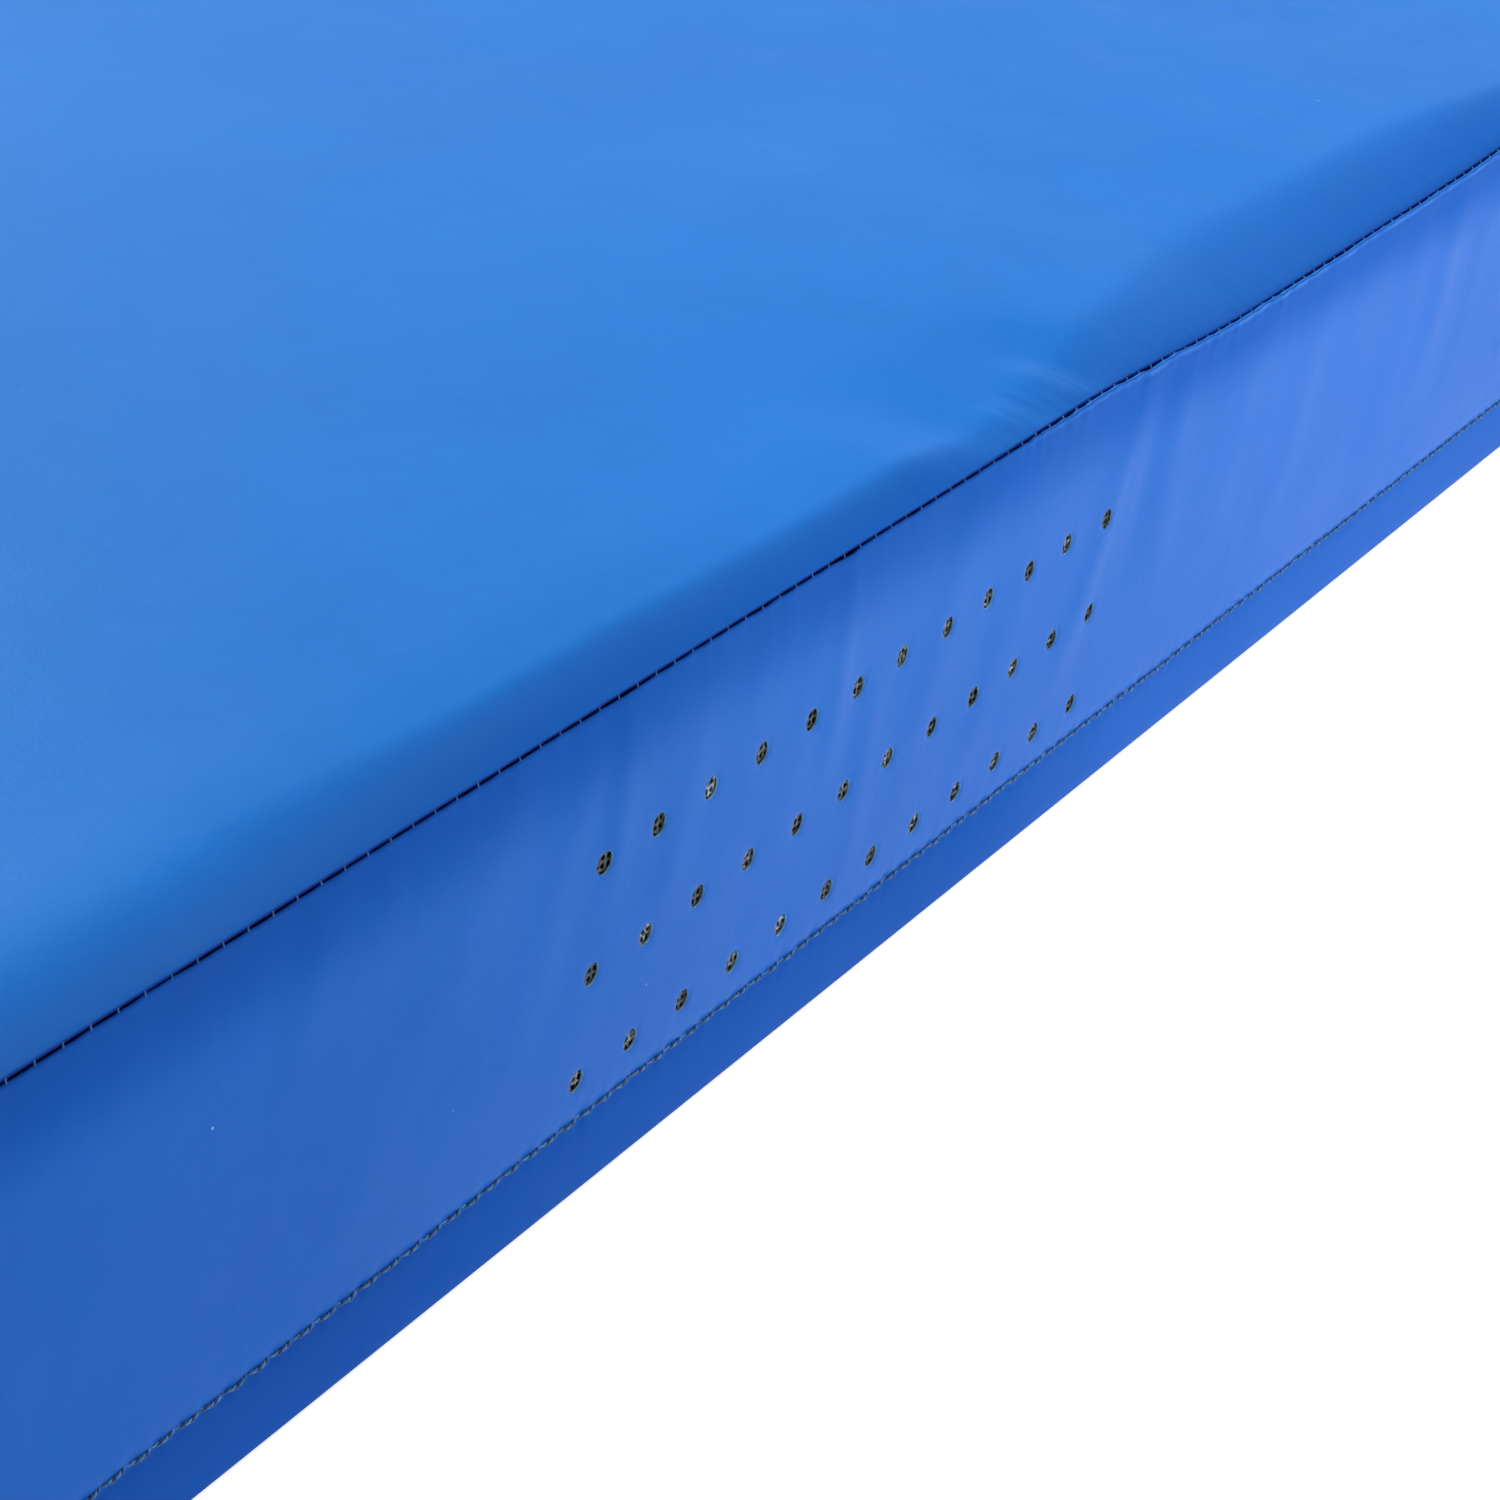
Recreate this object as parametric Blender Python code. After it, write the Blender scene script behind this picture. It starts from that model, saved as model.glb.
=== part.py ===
"""A vented foam landing mat: a zip-off vinyl cover with carry handles over a two-layer foam core.

The mat lies flat on the floor. X runs along its length, Y across it and Z up, and the origin is
the centre of its underside. Everything is in metres. The cover is sewn from a top panel, four
sides and a base. The two long sides carry the punched air vents, and the right end the zip.
"""

import math

import bmesh
import bpy
from mathutils import Vector

# The mat
LENGTH = 2.000
WIDTH = 1.000
THICKNESS = 0.100
HALF_LENGTH = LENGTH / 2
HALF_WIDTH = WIDTH / 2

# Sheet goods, and the room left between neighbours
VINYL = 0.0008
BASE_SHEET = 0.0010
NETTING = 0.0005
THREAD = 0.0008
GAP = 0.0003
INSIDE = VINYL + GAP  # from the outer face of a side to what lies just behind it
OVERLAP = 0.0003  # how far shapes that a Boolean joins reach into each other

# Seams
SEAM_LIP = 0.012  # seam allowance of the top panel, turned down inside the sides
HEM_HEIGHT = 0.016  # height of the stitch line that joins the sides to the base
BASE_UPSTAND = 0.021  # the base's edge, turned up inside the sides
SIDE_TOP = THICKNESS - VINYL - GAP - THREAD - GAP  # top edge of the sides

# Air vents, punched in the two long sides, and the netting behind them
VENT_COLUMNS = 12
VENT_ROWS = 3
VENT_PITCH = 0.018
VENT_ROW_SPACING = 0.022
VENT_CENTRE_HEIGHT = 0.0475
VENT_RADIUS = 0.00225
VENT_SIDES = 12
NETTING_HALF_LENGTH = 0.125
NETTING_TOP = 0.080

# Foam core
FIRM_LAYER_TOP = 0.035
FOAM_HALF_WIDTH = HALF_WIDTH - 2 * INSIDE
FOAM_LEFT = -HALF_LENGTH + 2 * INSIDE
FOAM_RIGHT = HALF_LENGTH - 0.0055  # leaves room for the back of the zip slider
FOAM_EDGE_RADIUS = 0.002

# Carry handles: webbing that is sewn down at both ends and stands off the side between them
HANDLE_X = 0.620
HANDLE_HEIGHT = 0.060
WEBBING_WIDTH = 0.030
WEBBING = 0.0016
SEWN_LENGTH = 0.045
FREE_HALF_SPAN = 0.085
BOW = 0.030  # how far the middle of the free span stands off its sewn line
BOW_FLAT = 0.030  # half of the stretch that stands off by the whole bow
GRIP_HALF_SPAN = 0.0425  # half of the stretch that swings
TWIST_START = 0.075  # where the webbing begins to turn from upright to its hanging angle
HANG_ANGLE = math.radians(45)
SPAN_STEPS = 12
BOX_STITCH_LENGTH = 0.034
BOX_STITCH_HEIGHT = 0.022

# Zip, set in the right end
ZIP_HEIGHT = 0.050
ZIP_WINDOW = 0.0130  # height of the slot left open between the two strips of the end
TAPE = 0.0008
TAPE_WIDTH = 0.0110
TAPE_HALF_LENGTH = 0.470
TEETH_HALF_GAP = 0.0008  # half of the gap between the rows, where the slider's post runs
TEETH_WIDTH = 0.0040
TEETH_THICKNESS = 0.0030
TEETH_HALF_LENGTH = 0.455
TEETH_EDGE = TEETH_HALF_GAP + TEETH_WIDTH
TAPE_EDGE = TEETH_EDGE + GAP
CHAIN_X = HALF_LENGTH - TEETH_THICKNESS / 2
STOP_LENGTH = 0.0050
PATCH_START = 0.462
PATCH_END = 0.496
PATCH_HEIGHT = 0.036
ZIP_STITCH_HEIGHT = 0.0110  # from the zip's centre line to the stitches beside it
ZIP_STITCH_HALF_LENGTH = 0.460

# Zip slider and its pull
SLIDER_Y = -0.440
SLIDER_LENGTH = 0.0180
SLIDER_HALF_WIDTH = 0.0062
SLIDER_NOSE_HALF_WIDTH = 0.0036
SLIDER_SHOULDER = 0.0045  # length of the tapered nose
SLIDER_PLATE = 0.0012
CHANNEL = TEETH_THICKNESS + 0.0010
FLANGE_WIDTH = 0.0010
FLANGE_DEPTH = 0.0013
POST_WIDTH = 0.0010
POST_LENGTH = 0.0035
BRIDGE_LENGTH = 0.0080
BRIDGE_WIDTH = 0.0026
BRIDGE_BAR = 0.0012
BRIDGE_HOLE = 0.0030
PULL_LENGTH = 0.0320
PULL_WIDTH = 0.0095
PULL_TIP_WIDTH = 0.0075
PULL_PLATE = 0.0015
PULL_WINDOW_LENGTH = 0.0050
PULL_WINDOW_WIDTH = 0.0056
SLIDER_NOSE_GAP = 0.0004  # from the tip of the nose to the post
FRONT_PLATE_X = CHANNEL / 2 + SLIDER_PLATE  # outer face of the slider, from the chain's middle
PULL_X = FRONT_PLATE_X + BRIDGE_HOLE / 2  # the pull's hinge axis, from the chain's middle


def clear_scene():
    for found in list(bpy.data.objects):
        bpy.data.objects.remove(found)


def material(name, colour, roughness, metallic=0.0):
    made = bpy.data.materials.new(name)
    made.use_nodes = True
    shader = made.node_tree.nodes["Principled BSDF"]
    shader.inputs["Base Color"].default_value = (*colour, 1.0)
    shader.inputs["Roughness"].default_value = roughness
    shader.inputs["Metallic"].default_value = metallic
    return made


def make_materials():
    return {
        "cover_vinyl": material("cover_vinyl", (0.035, 0.170, 0.620), 0.42),
        "base_vinyl": material("base_vinyl", (0.045, 0.050, 0.060), 0.75),
        "netting": material("netting", (0.450, 0.470, 0.480), 0.80),
        "soft_foam": material("soft_foam", (0.060, 0.055, 0.055), 0.95),
        "firm_foam": material("firm_foam", (0.030, 0.032, 0.036), 0.90),
        "thread": material("thread", (0.010, 0.070, 0.160), 0.60),
        "webbing": material("webbing", (0.020, 0.022, 0.028), 0.80),
        "zip_tape": material("zip_tape", (0.015, 0.018, 0.024), 0.85),
        "zip_teeth": material("zip_teeth", (0.020, 0.022, 0.026), 0.45),
        "zip_metal": material("zip_metal", (0.250, 0.250, 0.260), 0.35, 0.9),
    }


# Shapes


def add_object(name, shape, finish=None, location=(0, 0, 0), parent=None):
    """Turns a bmesh into an object whose faces point outwards."""
    bmesh.ops.recalc_face_normals(shape, faces=shape.faces)
    mesh = bpy.data.meshes.new(name)
    shape.to_mesh(mesh)
    shape.free()
    made = bpy.data.objects.new(name, mesh)
    bpy.context.scene.collection.objects.link(made)
    made.location = location
    made.parent = parent
    if finish is not None:
        mesh.materials.append(finish)
    return made


def box_shape(size):
    """A bmesh block of that size, centred on its own origin."""
    shape = bmesh.new()
    bmesh.ops.create_cube(shape, size=1.0)
    bmesh.ops.scale(shape, vec=size, verts=shape.verts)
    return shape


def box(name, low, high, finish=None, bevel=0.0, parent=None):
    """A block between two opposite corners, in either order, with its origin at its centre."""
    low, high = Vector(low), Vector(high)
    size = [abs(a - b) for a, b in zip(low, high)]
    made = add_object(name, box_shape(size), finish, (low + high) / 2, parent)
    if bevel:
        rounding = made.modifiers.new("rounded edges", "BEVEL")
        rounding.width = bevel
        rounding.segments = 2
    return made


def prism(name, outline, plane, depth, finish=None, location=(0, 0, 0), parent=None):
    """An outline of 2-D points, given on plane "XY" or "YZ", made `depth` thick about it."""
    axes = ["XYZ".index(letter) for letter in plane]
    normal = 3 - sum(axes)
    shape = bmesh.new()
    corners = []
    for point in outline:
        place = [0.0, 0.0, 0.0]
        place[axes[0]], place[axes[1]] = point
        place[normal] = -depth / 2
        corners.append(shape.verts.new(place))
    face = shape.faces.new(corners)
    raised = bmesh.ops.extrude_face_region(shape, geom=[face])["geom"]
    lift = [0.0, 0.0, 0.0]
    lift[normal] = depth
    bmesh.ops.translate(shape, vec=lift, verts=only_verts(raised))
    return add_object(name, shape, finish, location, parent)


def only_verts(geometry):
    return [part for part in geometry if isinstance(part, bmesh.types.BMVert)]


def skinned(rings, closed):
    """A bmesh skin over rings of four points: a hoop if closed, otherwise with a cap at each end."""
    shape = bmesh.new()
    loops = [[shape.verts.new(point) for point in ring] for ring in rings]
    following = loops[1:] + loops[:1] if closed else loops[1:]
    for ring, after in zip(loops, following):
        for i in range(4):
            j = (i + 1) % 4
            shape.faces.new((ring[i], ring[j], after[j], after[i]))
    if not closed:
        shape.faces.new(loops[0])
        shape.faces.new(loops[-1])
    return shape


def boolean(target, other, operation):
    """Cuts or joins another object, which then isn't a piece of its own."""
    other.hide_render = True
    other.display_type = "WIRE"
    step = target.modifiers.new(other.name, "BOOLEAN")
    step.operation = operation
    step.object = other


def raise_rim(shape, direction, inset, width, height):
    """Stands a rim on the face of a bmesh block that points that way, `inset` from its edge."""
    face = max(shape.faces, key=lambda each: each.normal.dot(Vector(direction)))
    even = {"faces": [face], "use_even_offset": True}
    if inset:
        bmesh.ops.inset_region(shape, thickness=inset, **even)
    rim = bmesh.ops.inset_region(shape, thickness=width, **even)["faces"]
    raised = bmesh.ops.extrude_face_region(shape, geom=rim)["geom"]
    bmesh.ops.translate(shape, vec=Vector(direction) * height, verts=only_verts(raised))
    bmesh.ops.delete(shape, geom=rim, context="FACES")


# The cover


def top_panel(finish):
    """The landing surface, with its seam allowance turned down inside the sides."""
    shape = box_shape((LENGTH, WIDTH, VINYL))
    raise_rim(shape, (0, 0, -1), INSIDE, VINYL, SEAM_LIP)
    add_object("top_panel", shape, finish, (0, 0, THICKNESS - VINYL / 2))


def base_panel(finish):
    """The non-slip underside, a shallow tray whose rim stands inside the sides."""
    shape = box_shape((LENGTH - 2 * INSIDE, WIDTH - 2 * INSIDE, BASE_SHEET))
    raise_rim(shape, (0, 0, 1), 0, VINYL, BASE_UPSTAND - BASE_SHEET)
    add_object("base_panel", shape, finish, (0, 0, BASE_SHEET / 2))


def vent_punches(name, face_y):
    """The punches for one field of vents, as one cutter that runs well past both faces."""
    upright_to_level = Vector((0, 0, 1)).rotation_difference(Vector((0, 1, 0))).to_matrix()
    shape = bmesh.new()
    for column in range(VENT_COLUMNS):
        for row in range(VENT_ROWS):
            x = (column - (VENT_COLUMNS - 1) / 2) * VENT_PITCH
            z = VENT_CENTRE_HEIGHT + (row - (VENT_ROWS - 1) / 2) * VENT_ROW_SPACING
            punch = bmesh.ops.create_cone(
                shape,
                cap_ends=True,
                segments=VENT_SIDES,
                radius1=VENT_RADIUS,
                radius2=VENT_RADIUS,
                depth=10 * VINYL,
            )["verts"]
            bmesh.ops.rotate(shape, verts=punch, cent=(0, 0, 0), matrix=upright_to_level)
            bmesh.ops.translate(shape, verts=punch, vec=(x, face_y, z))
    return add_object(name, shape)


def long_side(edge, side, finishes):
    """The front (side -1) or rear (side +1) panel with its vents, and the netting behind them."""
    outer, inner = side * HALF_WIDTH, side * (HALF_WIDTH - VINYL)
    reach = HALF_LENGTH - INSIDE
    panel = box(
        f"{edge}_panel", (-reach, outer, 0), (reach, inner, SIDE_TOP), finishes["cover_vinyl"]
    )
    boolean(panel, vent_punches(f"{edge}_vent_punches", side * HALF_WIDTH), "DIFFERENCE")
    near, far = side * (HALF_WIDTH - INSIDE), side * (HALF_WIDTH - INSIDE - NETTING)
    box(
        f"{edge}_vent_netting",
        (-NETTING_HALF_LENGTH, near, BASE_UPSTAND + GAP),
        (NETTING_HALF_LENGTH, far, NETTING_TOP),
        finishes["netting"],
    )


def end_strip(name, side, bottom, top, finish):
    """A strip of the left (side -1) or right (side +1) end."""
    outer, inner = side * HALF_LENGTH, side * (HALF_LENGTH - VINYL)
    reach = HALF_WIDTH - INSIDE
    box(name, (outer, -reach, bottom), (inner, reach, top), finish)


def thread_hoop(name, half_x, half_y, low, finish):
    """A line of stitching all round the mat, as a hoop of square section."""
    rings = []
    for x_sign, y_sign in ((-1, -1), (1, -1), (1, 1), (-1, 1)):
        outer = (x_sign * half_x, y_sign * half_y)
        inner = (x_sign * (half_x - THREAD), y_sign * (half_y - THREAD))
        rings.append([(*outer, 0), (*outer, THREAD), (*inner, THREAD), (*inner, 0)])
    add_object(name, skinned(rings, closed=True), finish, (0, 0, low))


def seams(thread):
    """The stitching round the top edge, round the hem and up each corner."""
    thread_hoop("top_seam_thread", HALF_LENGTH, HALF_WIDTH, SIDE_TOP + GAP, thread)
    proud = GAP + THREAD
    low = HEM_HEIGHT - THREAD / 2
    thread_hoop("hem_thread", HALF_LENGTH + proud, HALF_WIDTH + proud, low, thread)
    for end, x_sign in (("left", -1), ("right", 1)):
        for edge, y_sign in (("front", -1), ("rear", 1)):
            outer = (x_sign * HALF_LENGTH, y_sign * HALF_WIDTH, BASE_SHEET)
            inner = (
                x_sign * (HALF_LENGTH - THREAD),
                y_sign * (HALF_WIDTH - THREAD),
                SIDE_TOP,
            )
            box(f"{edge}_{end}_corner_thread", outer, inner, thread)


def cover(finishes):
    vinyl = finishes["cover_vinyl"]
    top_panel(vinyl)
    base_panel(finishes["base_vinyl"])
    long_side("front", -1, finishes)
    long_side("rear", 1, finishes)
    end_strip("left_end_panel", -1, 0, SIDE_TOP, vinyl)
    end_strip("right_end_lower_panel", 1, 0, ZIP_HEIGHT - ZIP_WINDOW / 2, vinyl)
    end_strip("right_end_upper_panel", 1, ZIP_HEIGHT + ZIP_WINDOW / 2, SIDE_TOP, vinyl)
    seams(finishes["thread"])


# The core


def core(finishes):
    """A firm layer on the base, and a softer, thicker layer over it."""
    layers = (
        ("firm_foam_layer", BASE_SHEET + GAP, FIRM_LAYER_TOP, "firm_foam"),
        ("soft_foam_layer", FIRM_LAYER_TOP + GAP, THICKNESS - VINYL - GAP, "soft_foam"),
    )
    for name, low, high, finish in layers:
        box(
            name,
            (FOAM_LEFT, -FOAM_HALF_WIDTH, low),
            (FOAM_RIGHT, FOAM_HALF_WIDTH, high),
            finishes[finish],
            bevel=FOAM_EDGE_RADIUS,
        )


# The handles


def smooth_step(share):
    share = min(1.0, max(0.0, share))
    return share * share * (3 - 2 * share)


def bow_at(x):
    return BOW * smooth_step((FREE_HALF_SPAN - abs(x)) / (FREE_HALF_SPAN - BOW_FLAT))


def webbing_section(x, side):
    """The corners of the webbing's section at x, measured from the middle of the sewn line."""
    step = 0.0005
    slope = (bow_at(x + step) - bow_at(x - step)) / (2 * step)
    half = WEBBING / 2 * math.hypot(1, slope)
    twist = smooth_step((TWIST_START - abs(x)) / (TWIST_START - GRIP_HALF_SPAN))
    angle = HANG_ANGLE * twist
    out = Vector((0, side * math.cos(angle), -math.sin(angle)))
    across = Vector((0, side * math.sin(angle), math.cos(angle)))
    middle = Vector((x, 0, 0)) + bow_at(x) * out
    wide = WEBBING_WIDTH / 2
    corners = ((-half, -wide), (half, -wide), (half, wide), (-half, wide))
    return [middle + a * out + b * across for a, b in corners]


def webbing_strip(name, stations, side, finish, parent):
    rings = [webbing_section(x, side) for x in stations]
    add_object(name, skinned(rings, closed=False), finish, parent=parent)


def steps_between(start, end):
    return [start + (end - start) * i / SPAN_STEPS for i in range(SPAN_STEPS + 1)]


def box_stitch(name, x, side, thread, parent):
    """The rectangle of stitching that holds one end of the webbing."""
    rings = []
    for x_sign, z_sign in ((-1, -1), (1, -1), (1, 1), (-1, 1)):
        half_x, half_z = BOX_STITCH_LENGTH / 2, BOX_STITCH_HEIGHT / 2
        outer = (x_sign * half_x, z_sign * half_z)
        inner = (x_sign * (half_x - THREAD), z_sign * (half_z - THREAD))
        depths = (-THREAD / 2, THREAD / 2)
        ring = [(outer[0], y, outer[1]) for y in depths]
        ring += [(inner[0], y, inner[1]) for y in reversed(depths)]
        rings.append(ring)
    place = (x, side * (WEBBING / 2 + GAP + THREAD / 2), 0)
    add_object(name, skinned(rings, closed=True), thread, place, parent)


def handle(name, x, side, finishes):
    """A carry handle. Its axis runs along X through the middle of its sewn-down ends."""
    pivot = bpy.data.objects.new(f"{name}_pivot", None)
    bpy.context.scene.collection.objects.link(pivot)
    pivot.location = (x, side * (HALF_WIDTH + GAP + WEBBING / 2), HANDLE_HEIGHT)
    webbing = finishes["webbing"]
    grip_stations = steps_between(-GRIP_HALF_SPAN, GRIP_HALF_SPAN)
    webbing_strip(f"{name}_grip", grip_stations, side, webbing, pivot)
    for end, sign in (("left", -1), ("right", 1)):
        rising = steps_between(sign * (GRIP_HALF_SPAN + GAP), sign * FREE_HALF_SPAN)
        stations = rising + [sign * (FREE_HALF_SPAN + SEWN_LENGTH)]
        webbing_strip(f"{name}_{end}_tab", stations, side, webbing, pivot)
        middle = sign * (FREE_HALF_SPAN + SEWN_LENGTH / 2)
        box_stitch(f"{name}_{end}_stitch", middle, side, finishes["thread"], pivot)


def handles(finishes):
    for edge, side in (("front", -1), ("rear", 1)):
        for end, x in (("left", -HANDLE_X), ("right", HANDLE_X)):
            handle(f"{edge}_{end}_handle", x, side, finishes)


# The zip


def zip_halves(finishes):
    """The two tapes with their teeth, and the stitches that hold them to the end strips."""
    for half, sign in (("lower", -1), ("upper", 1)):
        tape_z = (ZIP_HEIGHT + sign * TAPE_EDGE, ZIP_HEIGHT + sign * (TAPE_EDGE + TAPE_WIDTH))
        box(
            f"zip_{half}_tape",
            (CHAIN_X - TAPE / 2, -TAPE_HALF_LENGTH, tape_z[0]),
            (CHAIN_X + TAPE / 2, TAPE_HALF_LENGTH, tape_z[1]),
            finishes["zip_tape"],
        )
        teeth_z = (ZIP_HEIGHT + sign * TEETH_HALF_GAP, ZIP_HEIGHT + sign * TEETH_EDGE)
        box(
            f"zip_{half}_teeth",
            (CHAIN_X - TEETH_THICKNESS / 2, -TEETH_HALF_LENGTH, teeth_z[0]),
            (CHAIN_X + TEETH_THICKNESS / 2, TEETH_HALF_LENGTH, teeth_z[1]),
            finishes["zip_teeth"],
            bevel=0.0007,
        )
        stitch_x = HALF_LENGTH + GAP
        stitch_z = ZIP_HEIGHT + sign * ZIP_STITCH_HEIGHT
        box(
            f"zip_{half}_stitch",
            (stitch_x, -ZIP_STITCH_HALF_LENGTH, stitch_z - THREAD / 2),
            (stitch_x + THREAD, ZIP_STITCH_HALF_LENGTH, stitch_z + THREAD / 2),
            finishes["thread"],
        )


def zip_ends(finishes):
    """A stop at each end of the teeth, and a sewn patch over each end of the slot."""
    for edge, sign in (("front", -1), ("rear", 1)):
        start = TEETH_HALF_LENGTH + GAP
        box(
            f"zip_{edge}_stop",
            (CHAIN_X - TEETH_THICKNESS / 2, sign * start, ZIP_HEIGHT - TEETH_EDGE),
            (CHAIN_X + TEETH_THICKNESS / 2, sign * (start + STOP_LENGTH), ZIP_HEIGHT + TEETH_EDGE),
            finishes["zip_metal"],
            bevel=0.0005,
        )
        box(
            f"zip_{edge}_patch",
            (HALF_LENGTH + GAP, sign * PATCH_START, ZIP_HEIGHT - PATCH_HEIGHT / 2),
            (HALF_LENGTH + GAP + VINYL, sign * PATCH_END, ZIP_HEIGHT + PATCH_HEIGHT / 2),
            finishes["cover_vinyl"],
        )


def slider_plate_outline():
    """The plate's outline in Y and Z. Its nose points to the front."""
    nose, tail = -SLIDER_LENGTH / 2, SLIDER_LENGTH / 2
    shoulder = nose + SLIDER_SHOULDER
    upper = [(tail, SLIDER_HALF_WIDTH), (shoulder, SLIDER_HALF_WIDTH)]
    upper.append((nose, SLIDER_NOSE_HALF_WIDTH))
    return upper + [(y, -z) for y, z in reversed(upper)]


def slider(finish):
    """Two plates on a central post, with flanges that hold the teeth, and a bridge on top."""
    centre = Vector((CHAIN_X, SLIDER_Y, ZIP_HEIGHT))
    outline = slider_plate_outline()
    plate_middle = Vector((CHANNEL / 2 + SLIDER_PLATE / 2, 0, 0))
    body = prism("zip_slider", outline, "YZ", SLIDER_PLATE, finish, centre + plate_middle)
    back = prism("slider_back_plate", outline, "YZ", SLIDER_PLATE, None, centre - plate_middle)
    boolean(body, back, "UNION")
    nose, tail = -SLIDER_LENGTH / 2, SLIDER_LENGTH / 2
    joint_x = CHANNEL / 2 + OVERLAP
    post = box(
        "slider_post",
        centre + Vector((-joint_x, nose + SLIDER_NOSE_GAP, -POST_WIDTH / 2)),
        centre + Vector((joint_x, nose + SLIDER_NOSE_GAP + POST_LENGTH, POST_WIDTH / 2)),
    )
    boolean(body, post, "UNION")
    inset = OVERLAP / 3  # keeps the faces of the flanges off the edges of the plates
    for side in (-1, 1):
        z = (side * (SLIDER_HALF_WIDTH - FLANGE_WIDTH), side * (SLIDER_HALF_WIDTH - inset))
        for face, layer in ((1, "front"), (-1, "back")):
            flange = box(
                f"slider_{layer}_flange_{'lower' if side < 0 else 'upper'}",
                centre + Vector((face * joint_x, nose + SLIDER_SHOULDER, z[0])),
                centre + Vector((face * (CHANNEL / 2 - FLANGE_DEPTH), tail - inset, z[1])),
            )
            boolean(body, flange, "UNION")
    boolean(body, slider_bridge(centre), "UNION")
    return body, centre


def slider_bridge(centre):
    """The arch that the pull's bar turns under."""
    foot = FRONT_PLATE_X - OVERLAP
    top = FRONT_PLATE_X + BRIDGE_HOLE
    half, inner = BRIDGE_LENGTH / 2, BRIDGE_LENGTH / 2 - BRIDGE_BAR
    outline = [(foot, -half), (top + BRIDGE_BAR, -half), (top + BRIDGE_BAR, half), (foot, half)]
    outline += [(foot, inner), (top, inner), (top, -inner), (foot, -inner)]
    return prism("slider_bridge", outline, "XY", BRIDGE_WIDTH, None, centre)


def pull(finish, body, centre):
    """The pull tab, at rest along the closed zip. Its origin is on its hinge axis."""
    bar = PULL_PLATE / 2
    root, shoulder = -bar, bar + PULL_WINDOW_LENGTH
    outline = [(root, -PULL_WIDTH / 2), (shoulder, -PULL_WIDTH / 2)]
    outline.append((PULL_LENGTH, -PULL_TIP_WIDTH / 2))
    outline += [(y, -z) for y, z in reversed(outline)]
    axis = centre + Vector((PULL_X, 0, 0))
    tab = prism("zip_pull", outline, "YZ", PULL_PLATE, finish, axis - body.location, body)
    window = box(
        "pull_window",
        (-PULL_PLATE, bar, -PULL_WINDOW_WIDTH / 2),
        (PULL_PLATE, bar + PULL_WINDOW_LENGTH, PULL_WINDOW_WIDTH / 2),
        parent=tab,
    )
    boolean(tab, window, "DIFFERENCE")


def zip_closure(finishes):
    zip_halves(finishes)
    zip_ends(finishes)
    body, centre = slider(finishes["zip_metal"])
    pull(finishes["zip_metal"], body, centre)


def main():
    clear_scene()
    finishes = make_materials()
    cover(finishes)
    core(finishes)
    handles(finishes)
    zip_closure(finishes)


main()
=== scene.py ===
"""The looks of the vented foam landing mat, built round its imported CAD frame.

X runs along the mat, Y across it and Z up. The front long side, with the vents, faces -Y.
Each panel of the cover starts as a flat pattern of (u, v) points: u runs along the edge of the
mat and v up the panel. A function then places each of those points in space. Lengths are in
metres, and MM turns millimetres into metres.
"""

import math
from collections import namedtuple

import bpy
import numpy as np
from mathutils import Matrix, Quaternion, Vector


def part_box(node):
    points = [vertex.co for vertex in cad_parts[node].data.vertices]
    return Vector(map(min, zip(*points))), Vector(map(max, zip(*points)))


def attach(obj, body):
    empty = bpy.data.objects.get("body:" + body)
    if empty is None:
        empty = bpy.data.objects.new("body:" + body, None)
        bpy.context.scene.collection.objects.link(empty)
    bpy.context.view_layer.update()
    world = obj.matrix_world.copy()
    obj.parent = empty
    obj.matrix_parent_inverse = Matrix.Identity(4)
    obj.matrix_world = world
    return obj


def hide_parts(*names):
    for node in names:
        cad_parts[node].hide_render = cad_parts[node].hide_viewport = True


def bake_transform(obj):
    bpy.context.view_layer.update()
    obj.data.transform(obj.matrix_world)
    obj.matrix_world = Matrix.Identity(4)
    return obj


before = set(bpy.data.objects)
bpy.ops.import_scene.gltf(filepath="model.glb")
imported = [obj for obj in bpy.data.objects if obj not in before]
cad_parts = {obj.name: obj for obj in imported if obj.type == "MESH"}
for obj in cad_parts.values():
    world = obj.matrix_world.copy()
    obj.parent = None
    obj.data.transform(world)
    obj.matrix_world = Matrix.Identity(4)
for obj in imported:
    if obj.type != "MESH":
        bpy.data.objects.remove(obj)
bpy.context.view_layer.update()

MM = 0.001
BODY = "mat"
SAME_PLACE = 0.01 * MM  # lines closer together than this count as one
ROUNDING = 1e-6  # allowed for when lines and lengths are compared

# The mat, read from the frame
HALF_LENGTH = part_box("top_panel")[1].x
HALF_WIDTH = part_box("top_panel")[1].y
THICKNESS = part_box("top_panel")[1].z
HEM_Z = (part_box("hem_thread")[0].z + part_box("hem_thread")[1].z) / 2
SLOT_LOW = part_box("right_end_lower_panel")[1].z
SLOT_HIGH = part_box("right_end_upper_panel")[0].z

# Sewing
SHEET = 0.5 * MM
STITCH = 6 * MM
LIP = 0.5 * MM  # radius of a fold where it turns into a seam
SEAM_GAP = 0.14 * MM  # half of the gap between the two folds, between stitches
LIP_DEPTH = (1 + math.sqrt(2)) * LIP + math.sqrt(2) * SEAM_GAP  # seam down to the centre of a fold
TUCK = 3 * MM  # how far a panel runs on inside a seam
FOLD = 0.8 * MM  # radius of the fold along the bottom edge
CORNER = 6 * MM  # plan radius of the mat's corners
CORNER_ARC = CORNER * math.pi / 4 - LIP - 0.2 * MM  # each side's share of a corner
CORNER_LIP = LIP * math.pi / 2
ALLOWANCE = 10 * MM  # what the seams at the two edges of a panel take up together
SIDE_CUT = 115 * MM  # height that a side is cut to, with its bottom fold and its seam
STRIP_CUT = 55 * MM  # the same for each strip beside the zip

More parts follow.
